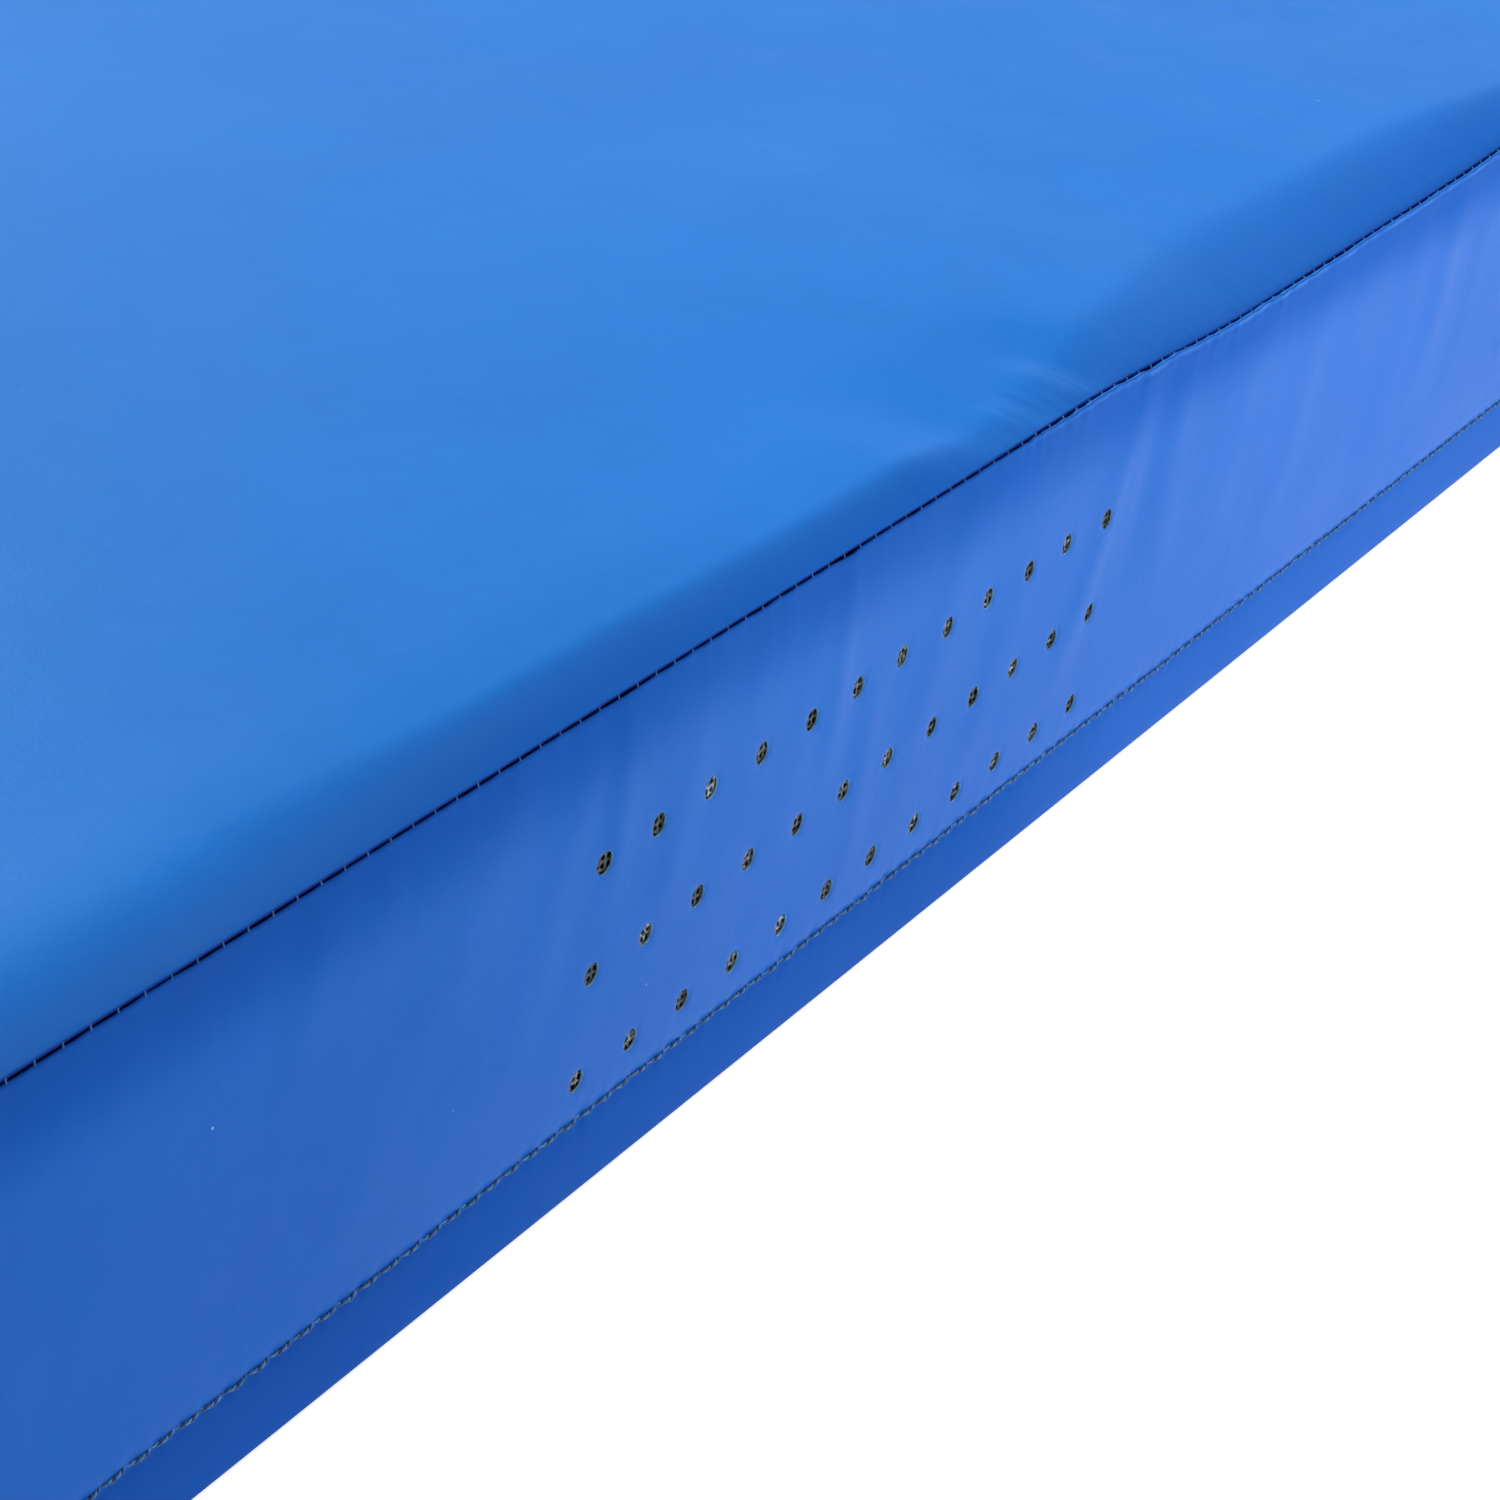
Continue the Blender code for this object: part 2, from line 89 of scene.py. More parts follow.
# Vents
VENT_PITCH = 18 * MM
VENT_HEIGHTS = (25.5 * MM, 47.5 * MM, 69.5 * MM)
VENT_COLUMNS = 12
VENT_RADIUS = 2.25 * MM
VENT_CELLS = 4  # a vent takes a square of twice this many 1 mm cells
VENT_PLACES = [
    ((column - (VENT_COLUMNS - 1) / 2) * VENT_PITCH, height)
    for column in range(VENT_COLUMNS)
    for height in VENT_HEIGHTS
]

# The stretches of the front edge that get the finest mesh
FINE_START = -0.264
FINE_END = 0.192
MEDIUM_END = 0.480


# Numbers


def smooth(t):
    t = np.clip(t, 0.0, 1.0)
    return t * t * (3 - 2 * t)


def bell(t):
    return np.exp(-t * t)


def value_noise(s, period, seed):
    """Smooth noise along a line, from -1 to 1, that changes over about one period."""
    knots = np.random.default_rng(seed).uniform(-1, 1, 8192)
    place = np.asarray(s) / period + 4096
    left = np.floor(place).astype(int)
    return knots[left] + (knots[left + 1] - knots[left]) * smooth(place - left)


def rolling(x, y, shortest, longest, seed, waves=18):
    """Soft undulation over a plane, mostly within -1 to 1."""
    rng = np.random.default_rng(seed)
    total = np.zeros(np.shape(x))
    for _ in range(waves):
        angle, phase = rng.uniform(0, 2 * math.pi, 2)
        length = shortest * (longest / shortest) ** rng.random()
        along = x * math.cos(angle) + y * math.sin(angle)
        total += np.sin(2 * math.pi * along / length + phase)
    return total / math.sqrt(waves)


def stations(s, table):
    """A value that changes smoothly along s between given (position, value) stations."""
    places, values = (np.array(each, float) for each in zip(*table))
    position = np.interp(s, places, np.arange(len(places)))
    left = np.clip(np.floor(position).astype(int), 0, len(places) - 2)
    return values[left] + (values[left + 1] - values[left]) * smooth(position - left)


def multiples(step, low, high):
    """The multiples of step from low to high, and the two ends themselves."""
    first, last = math.ceil(low / step - ROUNDING), math.floor(high / step + ROUNDING)
    return joined([low], np.arange(first, last + 1) * step, [high])


def joined(*stretches):
    """Several runs of values as one sorted list, with repeats left out."""
    values = np.sort(np.concatenate([np.asarray(each, float) for each in stretches]))
    return values[np.concatenate([[True], np.diff(values) > SAME_PLACE])]


# Meshes


def new_object(name, points, faces, material):
    mesh = bpy.data.meshes.new(name)
    mesh.from_pydata(np.asarray(points, float).tolist(), [], faces)
    mesh.update()
    mesh.shade_smooth()
    mesh.set_sharp_from_angle(angle=math.radians(60))
    mesh.materials.append(material)
    made = bpy.data.objects.new(name, mesh)
    bpy.context.scene.collection.objects.link(made)
    return made


def patchwork(blocks, skip=None):
    """A flat pattern cut into cells by u and v lines. Each block has its own lines, and a cell
    takes in any point that its neighbours put on its edges, so no gap opens between blocks.
    Returns the points, the faces and a function that finds the point at a (u, v)."""
    columns = joined(*[block[0] for block in blocks])
    rows = joined(*[block[1] for block in blocks])
    used = np.zeros((len(rows), len(columns)), bool)
    cells = []
    for block_columns, block_rows in blocks:
        across = np.searchsorted(columns, np.asarray(block_columns) - SAME_PLACE / 2)
        up = np.searchsorted(rows, np.asarray(block_rows) - SAME_PLACE / 2)
        used[np.ix_(up, across)] = True
        for low, high in zip(up[:-1], up[1:]):
            for left, right in zip(across[:-1], across[1:]):
                centre = (columns[left] + columns[right]) / 2, (rows[low] + rows[high]) / 2
                if not (skip and skip(*centre)):
                    cells.append((left, right, low, high))
    faces = []
    for left, right, low, high in cells:
        walk = [(low, i) for i in range(left, right)]
        walk += [(j, right) for j in range(low, high)]
        walk += [(high, i) for i in range(right, left, -1)]
        walk += [(j, left) for j in range(high, low, -1)]
        faces.append([place for place in walk if used[place]])
    in_faces = np.zeros_like(used)
    for face in faces:
        for place in face:
            in_faces[place] = True
    number = np.cumsum(in_faces.ravel()).reshape(used.shape) - 1
    faces = [[int(number[place]) for place in face] for face in faces]
    j, i = np.nonzero(in_faces)

    def find(u, v):
        column = int(np.searchsorted(columns, u - SAME_PLACE / 2))
        row = int(np.searchsorted(rows, v - SAME_PLACE / 2))
        return int(number[row, column]) if in_faces[row, column] else None

    return np.column_stack([columns[i], rows[j]]), faces, find


def grid_faces(rows, columns, first=0):
    """Quads over a grid of points whose rows run along u."""
    number = first + np.arange(rows * columns).reshape(rows, columns)
    low, high = number[:-1], number[1:]
    quads = np.stack([low[:, :-1], low[:, 1:], high[:, 1:], high[:, :-1]], axis=-1)
    return quads.reshape(-1, 4).tolist()


def grid_border(rows, columns, first=0):
    """The points round the edge of such a grid, in order."""
    number = first + np.arange(rows * columns).reshape(rows, columns)
    walk = [number[0, :-1], number[:-1, -1], number[-1, :0:-1], number[:0:-1, 0]]
    return np.concatenate(walk).tolist()


def open_edges(faces):
    """The edges that only one face has, each in its face's direction."""
    seen = {}
    for face in faces:
        for a, b in zip(face, face[1:] + face[:1]):
            key = (a, b) if a < b else (b, a)
            seen[key] = None if key in seen else (a, b)
    return [edge for edge in seen.values() if edge]


def thick_sheet(name, outer, faces, material, thickness=SHEET, edge_material=None, painted_shading=None):
    """A closed sheet: `outer` holds the points of its outer face, and the last argument gives
    each of them painted shade, up to 1. Below 0 it is a painted highlight instead, down to -1."""
    surface = bpy.data.meshes.new("surface")
    surface.from_pydata(outer.tolist(), [], faces)
    surface.update()
    normals = np.zeros(len(outer) * 3, np.float32)
    surface.vertex_normals.foreach_get("vector", normals)
    bpy.data.meshes.remove(surface)
    inner = outer - normals.reshape(-1, 3) * thickness
    count = len(outer)
    back = [[i + count for i in reversed(face)] for face in faces]
    rim = [[b, a, a + count, b + count] for a, b in open_edges(faces)]
    made = new_object(name, np.vstack([outer, inner]), faces + back + rim, material)
    if edge_material:
        made.data.materials.append(edge_material)
        for polygon in list(made.data.polygons)[-len(rim):]:
            polygon.material_index = 1
    # Painted shade above 0 and a painted highlight below 0, one value per point.
    if painted_shading is not None:
        layer = made.data.attributes.new("painted_shading", "FLOAT", "POINT")
        layer.data.foreach_set("value", np.tile(painted_shading, 2).astype(np.float32))
    return made


def tubes(name, paths, radius, sides, material, start=0.0, taper=0.7):
    """A round strand along each path, with narrowed closed ends. Each path holds its points and
    a vector that isn't parallel to it."""
    points, faces = [], []
    turn = start + np.arange(sides) * 2 * math.pi / sides
    for path, beside in paths:
        path = np.asarray(path, float)
        along = np.gradient(path, axis=0)
        along /= np.linalg.norm(along, axis=1)[:, None]
        across = np.cross(along, np.asarray(beside, float))
        across /= np.linalg.norm(across, axis=1)[:, None]
        up = np.cross(across, along)
        size = np.full(len(path), radius)
        size[[0, -1]] *= taper
        ring = np.cos(turn)[None, :, None] * across[:, None] + np.sin(turn)[None, :, None] * up[:, None]
        first = sum(map(len, points))
        points.append((path[:, None] + ring * size[:, None, None]).reshape(-1, 3))
        for i in range(len(path) - 1):
            a, b = first + i * sides, first + (i + 1) * sides
            faces += [[a + k, b + k, b + (k + 1) % sides, a + (k + 1) % sides] for k in range(sides)]
        last = first + (len(path) - 1) * sides
        faces.append([first + k for k in range(sides)])
        faces.append([last + k for k in reversed(range(sides))])
    return new_object(name, np.vstack(points), faces, material)


# Materials


def new_material(name, roughness, colour=(0.5, 0.5, 0.5), **sockets):
    made = bpy.data.materials.new(name)
    made.use_nodes = True
    shader = made.node_tree.nodes["Principled BSDF"]
    shader.inputs["Base Color"].default_value = (*colour, 1)
    shader.inputs["Roughness"].default_value = roughness
    for socket, value in sockets.items():
        shader.inputs[socket.replace("_", " ")].default_value = value
    made.diffuse_color = (*colour, 1)
    return made


class Nodes:
    """Short ways to add and join the nodes of one material."""

    def __init__(self, material):
        self.tree = material.node_tree
        self.shader = self.tree.nodes["Principled BSDF"]
        self.place = self.tree.nodes.new("ShaderNodeTexCoord").outputs["Object"]
        self.bumps = None

    def add(self, kind, settings=None, **values):
        made = self.tree.nodes.new(kind)
        for key, value in (settings or {}).items():
            setattr(made, key, value)
        for key, value in values.items():
            self.put(made.inputs[key.replace("_", " ")], value)
        return made

    def put(self, socket, value):
        if isinstance(value, bpy.types.NodeSocket):
            self.tree.links.new(value, socket)
        else:
            socket.default_value = value

    def noise(self, scale, detail=2.0, roughness=0.5, distortion=0.0):
        found = self.add(
            "ShaderNodeTexNoise",
            Vector=self.place,
            Scale=scale,
            Detail=detail,
            Roughness=roughness,
            Distortion=distortion,
        )
        return found.outputs["Fac"]

    def cells(self, scale, feature="F1", output="Distance", randomness=1.0):
        found = self.add(
            "ShaderNodeTexVoronoi",
            {"feature": feature},
            Vector=self.place,
            Scale=scale,
            Randomness=randomness,
        )
        return found.outputs[output]

    def range(self, value, from_low, from_high, to_low=0.0, to_high=1.0):
        found = self.add(
            "ShaderNodeMapRange",
            Value=value,
            From_Min=from_low,
            From_Max=from_high,
            To_Min=to_low,
            To_Max=to_high,
        )
        return found.outputs["Result"]

    def maths(self, operation, a, b=0.0):
        found = self.add("ShaderNodeMath", {"operation": operation})
        self.put(found.inputs[0], a)
        self.put(found.inputs[1], b)
        return found.outputs[0]

    def mix(self, share, a, b):
        found = self.add("ShaderNodeMix", {"data_type": "RGBA"})
        self.put(found.inputs["Factor"], share)
        for key, value in (("A", a), ("B", b)):
            socket = [each for each in found.inputs if each.name == key and each.type == "RGBA"][0]
            self.put(socket, value if isinstance(value, bpy.types.NodeSocket) else (*value, 1))
        return [each for each in found.outputs if each.type == "RGBA"][0]

    def bump(self, height, distance, strength=1.0):
        found = self.add("ShaderNodeBump", Height=height, Distance=distance, Strength=strength)
        if self.bumps:
            self.tree.links.new(self.bumps, found.inputs["Normal"])
        self.bumps = found.outputs["Normal"]
        self.put(self.shader.inputs["Normal"], self.bumps)

    def colour(self, value):
        self.put(self.shader.inputs["Base Color"], value)

    def roughness(self, value):
        self.put(self.shader.inputs["Roughness"], value)


VINYL_BLUE = (0.0035, 0.125, 0.575)
PALE_BLUE = (0.0055, 0.135, 0.600)
# The cover's colours for painted shade and for a painted highlight
PAINTED_SHADE_BLUE = (0.0010, 0.024, 0.240)
PAINTED_HIGHLIGHT_BLUE = (0.090, 0.290, 0.760)
LINT = (0.42, 0.52, 0.70)


def cover_vinyl():
    """Matt coated fabric: a fine pebbled grain, faint handling marks and a few specks of lint, with painted
    shade and a painted highlight taken from a per-point attribute.
    """
    made = new_material("cover_vinyl_finish", 0.44, VINYL_BLUE, Specular_IOR_Level=0.09)
    nodes = Nodes(made)
    patches = nodes.noise(5.0, 4.0, 0.6)
    mottle = nodes.noise(160.0, 3.0, 0.6)
    deep = tuple(0.93 * value for value in VINYL_BLUE)
    base = nodes.mix(nodes.range(patches, 0.35, 0.65), deep, PALE_BLUE)
    base = nodes.mix(nodes.range(mottle, 0.40, 0.75, 0.0, 0.35), base, PALE_BLUE)
    specks = nodes.cells(42.0)
    chosen = nodes.range(nodes.cells(42.0, output="Color"), 0.70, 0.71)  # one speck in about four
    lint = nodes.maths("MULTIPLY", nodes.range(specks, 0.014, 0.006), chosen)
    # A per-point attribute paints shade above 0 and a highlight below 0; the roughness also rises with the
    # painted shade.
    painted_shading = nodes.add("ShaderNodeAttribute", {"attribute_name": "painted_shading"}).outputs["Fac"]
    base = nodes.mix(painted_shading, base, PAINTED_SHADE_BLUE)
    base = nodes.mix(nodes.range(painted_shading, -1.0, 0.0, 0.6, 0.0), base, PAINTED_HIGHLIGHT_BLUE)
    nodes.colour(nodes.mix(lint, base, LINT))
    wear = nodes.noise(28.0, 5.0, 0.65)
    worn = nodes.range(wear, 0.3, 0.7, 0.40, 0.48)
    nodes.roughness(nodes.maths("ADD", worn, nodes.range(painted_shading, 0.0, 0.4, 0.0, 0.35)))
    grain = nodes.cells(1500.0, "SMOOTH_F1")
    nodes.bump(grain, 0.00005, 0.45)
    nodes.bump(nodes.noise(420.0, 3.0, 0.6), 0.00012, 0.35)
    nodes.bump(nodes.noise(60.0, 2.0, 0.5), 0.0004, 0.25)
    return made


def cut_vinyl():
    """The cut edge of the sheet, where its paler core shows."""
    made = new_material("cut_vinyl_finish", 0.6, (0.35, 0.60, 0.79))
    nodes = Nodes(made)
    nodes.colour(nodes.mix(nodes.noise(900.0), (0.26, 0.50, 0.72), (0.44, 0.70, 0.86)))
    nodes.bump(nodes.noise(2200.0), 0.0001, 0.5)
    return made


def base_vinyl():
    """The dark underside, with a fine non-slip pattern of raised dots."""
    made = new_material("base_vinyl_finish", 0.72, (0.03, 0.034, 0.042))
    nodes = Nodes(made)
    nodes.colour(nodes.mix(nodes.noise(14.0, 5.0), (0.024, 0.027, 0.034), (0.042, 0.046, 0.055)))
    nodes.roughness(nodes.range(nodes.noise(90.0), 0.3, 0.7, 0.64, 0.82))
    dots = nodes.range(nodes.cells(260.0, randomness=0.0), 0.22, 0.36, 1.0, 0.0)
    nodes.bump(dots, 0.0004, 0.8)
    nodes.bump(nodes.noise(900.0, 3.0), 0.0001, 0.4)
    return made


def yarn(name, dark, light, twist=900.0, roughness=0.75):
    """Spun thread: fine fibres along it, with lighter flecks."""
    made = new_material(name, roughness, light, Sheen_Weight=0.25, Sheen_Roughness=0.5)
    nodes = Nodes(made)
    fibres = nodes.noise(twist * 3, 3.0, 0.7, 1.0)
    flecks = nodes.noise(twist, 2.0, 0.6)
    share = nodes.range(nodes.maths("ADD", fibres, flecks), 0.80, 1.25)
    nodes.colour(nodes.mix(share, dark, light))
    nodes.bump(fibres, 0.00012, 0.8)
    return made


def netting_finish():
    """Pale knitted polyester with painted shade: its near-black parts stand for the shade inside the vents.
    """
    made = new_material("netting_finish", 0.75, (0.66, 0.69, 0.69), Sheen_Weight=0.3)
    nodes = Nodes(made)
    loops = nodes.noise(2600.0, 2.0, 0.6)
    fibres = nodes.noise(1100.0, 3.0, 0.6)
    # Painted shade: whole vents darkened at random stand for the shade inside them.
    painted_vent_shade = nodes.range(nodes.noise(55.0, 1.0), 0.42, 0.58, 0.15, 1.0)
    share = nodes.maths("MULTIPLY", nodes.range(fibres, 0.47, 0.62), painted_vent_shade)
    nodes.colour(nodes.mix(share, (0.012, 0.018, 0.022), (0.46, 0.55, 0.64)))
    nodes.bump(loops, 0.00018, 0.9)
    return made


def foam(name, dark, light, scale):
    """Open-cell foam."""
    made = new_material(name, 0.95, light, Specular_IOR_Level=0.2)
    nodes = Nodes(made)
    pores = nodes.cells(scale)
    nodes.colour(nodes.mix(nodes.range(pores, 0.15, 0.6), dark, light))
    nodes.bump(pores, 0.0005, 0.9)
    nodes.bump(nodes.noise(scale * 3), 0.0002, 0.6)
    return made


def webbing_finish():
    """Woven polyester tape: ribs across it every 1.6 mm, in a fine chevron weave."""
    made = new_material("webbing_finish", 0.72, (0.018, 0.020, 0.026), Sheen_Weight=0.1)
    nodes = Nodes(made)
    parts = nodes.add("ShaderNodeSeparateXYZ", Vector=nodes.place).outputs
    ribs = nodes.maths("SINE", nodes.maths("MULTIPLY", parts["X"], 2 * math.pi / 0.0016))
    cords = nodes.maths("SINE", nodes.maths("MULTIPLY", parts["Z"], 2 * math.pi / 0.0011))
    weave = nodes.maths("MULTIPLY", ribs, cords)
    fibres = nodes.noise(3000.0, 3.0, 0.7)
    height = nodes.maths("ADD", weave, nodes.maths("MULTIPLY", fibres, 0.7))
    share = nodes.range(height, -0.8, 1.6)
    nodes.colour(nodes.mix(share, (0.008, 0.009, 0.012), (0.040, 0.043, 0.052)))
    nodes.roughness(nodes.range(nodes.noise(60.0), 0.3, 0.7, 0.64, 0.8))
    nodes.bump(height, 0.00018, 0.9)
    return made


def zip_plastic():
    """Moulded nylon."""
    made = new_material("zip_teeth_finish", 0.36, (0.014, 0.016, 0.020))
    nodes = Nodes(made)
    nodes.colour(nodes.mix(nodes.noise(300.0), (0.010, 0.011, 0.014), (0.022, 0.025, 0.031)))
    nodes.roughness(nodes.range(nodes.noise(700.0, 3.0), 0.3, 0.7, 0.30, 0.46))
    nodes.bump(nodes.noise(1500.0), 0.00005, 0.4)
    return made


def zip_metal():
    """Die-cast metal with a worn plating."""
    made = new_material("zip_metal_finish", 0.32, (0.26, 0.26, 0.27), Metallic=1.0)
    nodes = Nodes(made)
    rubbed = nodes.noise(240.0, 5.0, 0.65)
    nodes.colour(nodes.mix(nodes.range(rubbed, 0.4, 0.7), (0.22, 0.22, 0.23), (0.32, 0.32, 0.33)))
    nodes.roughness(nodes.range(nodes.noise(520.0, 4.0), 0.3, 0.7, 0.24, 0.44))
    nodes.bump(nodes.noise(1400.0, 3.0), 0.00006, 0.35)
    return made


def floor_finish():
    """A white sweep, lit from below so that the mat leaves little shadow on it."""
    made = new_material("floor_finish", 0.8, (0.55, 0.55, 0.56), Specular_IOR_Level=0.1)
    shader = made.node_tree.nodes["Principled BSDF"]
    shader.inputs["Emission Color"].default_value = (1.0, 0.985, 0.90, 1)
    shader.inputs["Emission Strength"].default_value = 0.79
    nodes = Nodes(made)
    nodes.colour(nodes.mix(nodes.noise(6.0, 4.0), (0.54, 0.54, 0.56), (0.56, 0.56, 0.58)))
    return made


FINISH = {
    "cover_vinyl": cover_vinyl(),
    "cut_vinyl": cut_vinyl(),
    "base_vinyl": base_vinyl(),
    "netting": netting_finish(),
    "soft_foam": foam("soft_foam_finish", (0.012, 0.010, 0.009), (0.075, 0.062, 0.055), 900.0),
    "firm_foam": foam("firm_foam_finish", (0.010, 0.009, 0.009), (0.055, 0.048, 0.044), 1100.0),
    "dark_thread": yarn("dark_thread_finish", (0.002, 0.030, 0.110), (0.006, 0.095, 0.270)),
    "light_thread": yarn("light_thread_finish", (0.010, 0.130, 0.340), (0.125, 0.360, 0.640)),
    "seam_thread": yarn("seam_thread_finish", (0.004, 0.060, 0.270), (0.040, 0.185, 0.620)),
    "webbing": webbing_finish(),
    "zip_tape": yarn("zip_tape_finish", (0.006, 0.007, 0.010), (0.028, 0.031, 0.040), 1400.0),
    "zip_teeth": zip_plastic(),
    "zip_metal": zip_metal(),
}


# The camera, floor and light

VIEW_TARGET = Vector((0, -HALF_WIDTH, VENT_HEIGHTS[1]))  # the middle of the vents
VIEW_OFFSET = Vector((-0.6001, -0.2779, 0.3392))  # from there to the camera
VIEW_DIRECTION = Vector((0.79517, 0.40103, -0.45485))
VIEW_ROLL = math.radians(7.756)
LENS = 92.84  # focal length on a sensor 36 mm wide
FLOOR_DROP = 0.5 * MM  # the floor lies this far below the mat, so that their faces stay apart
FLOOR_LINES = (-40, -14, -6, -3, -1.5, 0, 1.5, 3, 6, 14, 40.0)


def add_camera():
    data = bpy.data.cameras.new("camera")
    data.lens = LENS
    data.sensor_width = 36
    data.clip_start = 0.02
    camera = bpy.data.objects.new("camera", data)
    bpy.context.scene.collection.objects.link(camera)
    camera.location = VIEW_TARGET + VIEW_OFFSET
    camera.rotation_mode = "QUATERNION"
    roll = Quaternion((0, 0, 1), VIEW_ROLL)
    camera.rotation_quaternion = VIEW_DIRECTION.to_track_quat("-Z", "Y") @ roll
    bpy.context.scene.camera = camera


def soft_box(name, place, target, size, power, colour):
    data = bpy.data.lights.new(name, "AREA")
    data.shape = "RECTANGLE"
    data.size, data.size_y = size
    data.energy = power
    data.color = colour
    lamp = bpy.data.objects.new(name, data)
    bpy.context.scene.collection.objects.link(lamp)
    lamp.location = place
    lamp.rotation_mode = "QUATERNION"
    lamp.rotation_quaternion = (Vector(target) - Vector(place)).to_track_quat("-Z", "Y")
    lamp.visible_camera = False


def add_floor():
    x, y = np.meshgrid(FLOOR_LINES, FLOOR_LINES)
    points = np.column_stack([x.ravel(), y.ravel(), np.full(x.size, -FLOOR_DROP)])
    new_object("floor", points, grid_faces(*x.shape), floor_finish())


def add_light():
    """A big key light behind the mat, two fills before it and one low on the horizon."""
    world = bpy.data.worlds.new("studio")
    bpy.context.scene.world = world
    world.use_nodes = True
    background = world.node_tree.nodes["Background"]
    background.inputs["Color"].default_value = (0.94, 0.97, 1.0, 1)
    background.inputs["Strength"].default_value = 0.22
    soft_box("back_light", (0.95, 4.05, 2.65), (0.0, -0.3, 0.1), (4.0, 2.5), 660, (1.0, 1.0, 0.66))
    soft_box("front_light", (0.75, -0.95, 1.65), (0.2, -0.5, 0.1), (1.2, 0.6), 12.5, (1.0, 1.0, 1.0))
    soft_box("side_light", (0.38, -1.05, 0.14), (0.25, -0.5, 0.06), (0.7, 0.2), 1.8, (0.90, 0.95, 1.0))
    soft_box("horizon_light", (5.6, 2.0, 1.3), (0.0, -0.3, 0.1), (5.0, 1.6), 20, (1.0, 1.0, 1.0))
    bpy.context.scene.view_settings.view_transform = "Standard"


# The shape of the cover

SEAM_Z = THICKNESS + 1.0 * MM
TOP_RISE = 3.0 * MM  # from the seam up to the flat of the top

# Along the front edge, as (x, value) stations
SEAM_DIP = ((0.085, 0.0), (0.170, 3.0 * MM), (0.260, 2.6 * MM), (0.400, 0.3 * MM))
BAND_WIDTH = (  # of the slope from the seam up to the flat of the top
    (-0.30, 20 * MM), (-0.19, 17 * MM), (-0.12, 11 * MM), (0.00, 9 * MM), (0.050, 8 * MM),
    (0.085, 12 * MM), (0.120, 18 * MM), (0.18, 25 * MM), (0.28, 22 * MM), (0.400, 12 * MM),
)
BAND_SHARE = ((0.015, 1.0), (0.045, 0.45), (0.085, 0.50), (0.115, 1.0))  # of the rise in that band
BAND_POWER = ((-0.22, 2.2), (-0.10, 1.6), (0.40, 1.6), (0.60, 2.2))  # above 1: steepest at the seam
SEAM_INSET = ((-0.30, 1.3 * MM), (0.020, 1.2 * MM), (0.090, 0.4 * MM), (0.30, 0.4 * MM), (0.50, 1.2 * MM))
LIP_PROUD = ((0.040, 0.0), (0.100, 0.75 * MM), (0.30, 0.75 * MM), (0.50, 0.0))

PLAIN_INSET = 1.2 * MM  # of the seam on the other sides
PLAIN_BAND = 15 * MM
PLAIN_POWER = 2.2
INSET_DROP = 1.1  # a seam that lies further in lies this much lower
ROLL_DEPTH = 13 * MM  # how far down the side starts to turn in
BULGE = 0.9 * MM
RIPPLE = 0.10 * MM
HOLE_DRAW = 0.08 * MM  # how far a needle hole pulls the sheet in

# Soft upright folds of the front: (x, z) of the upper end, (x, z) of the lower end, the half
# width, and the height of the fold. A negative height is a hollow.
FRONT_FOLDS = (
    ((-0.0945, 0.098), (-0.0955, 0.066), 4.5 * MM, 0.55 * MM),
    ((-0.0170, 0.099), (-0.0185, 0.058), 4.5 * MM, 0.50 * MM),
    ((-0.0020, 0.066), (-0.0030, 0.018), 5.0 * MM, 0.35 * MM),
    ((0.1130, 0.099), (0.0880, 0.040), 6.5 * MM, 0.62 * MM),
    ((0.1240, 0.092), (0.1160, 0.055), 6.0 * MM, -0.60 * MM),
    ((0.1340, 0.094), (0.1330, 0.042), 6.5 * MM, 0.42 * MM),
    ((-0.1050, 0.092), (-0.1210, 0.046), 7.0 * MM, 0.45 * MM),
    ((-0.1310, 0.095), (-0.1450, 0.058), 8.0 * MM, 0.40 * MM),
    ((-0.0700, 0.080), (-0.0760, 0.052), 6.0 * MM, 0.35 * MM),
    ((-0.1800, 0.096), (-0.1860, 0.070), 6.0 * MM, 0.35 * MM),
    ((-0.1600, 0.060), (-0.1720, 0.022), 9.0 * MM, 0.35 * MM),
    ((0.0300, 0.090), (0.0230, 0.050), 7.0 * MM, 0.30 * MM),
    ((0.0620, 0.070), (0.0450, 0.030), 8.0 * MM, 0.30 * MM),
    ((0.2150, 0.094), (0.2000, 0.040), 9.0 * MM, 0.50 * MM),
    ((0.3000, 0.096), (0.2920, 0.050), 7.0 * MM, 0.45 * MM),
)

# A side: half its length, its distance from the middle, its direction, its outward direction
# and the first of its seeds
Side = namedtuple("Side", "half depth along outward seed")
SIDES = {
    "front": Side(HALF_LENGTH, HALF_WIDTH, np.array((1.0, 0, 0)), np.array((0, -1.0, 0)), 11),
    "right": Side(HALF_WIDTH, HALF_LENGTH, np.array((0, 1.0, 0)), np.array((1.0, 0, 0)), 71),
    "rear": Side(HALF_LENGTH, HALF_WIDTH, np.array((-1.0, 0, 0)), np.array((0, 1.0, 0)), 31),
    "left": Side(HALF_WIDTH, HALF_LENGTH, np.array((0, -1.0, 0)), np.array((-1.0, 0, 0)), 51),
}
UP = np.array((0, 0, 1.0))


def pinch_at(s):
    """1 at each needle hole of a seam and 0 between them."""
    away = (np.asarray(s) / STITCH + 0.5) % 1 - 0.5
    return bell(away * STITCH / (0.8 * MM))


def seam_height(s, side):
    level = SEAM_Z - INSET_DROP * seam_inset(s, side)
    if side == "front":
        level = level - stations(s, SEAM_DIP)
    return level


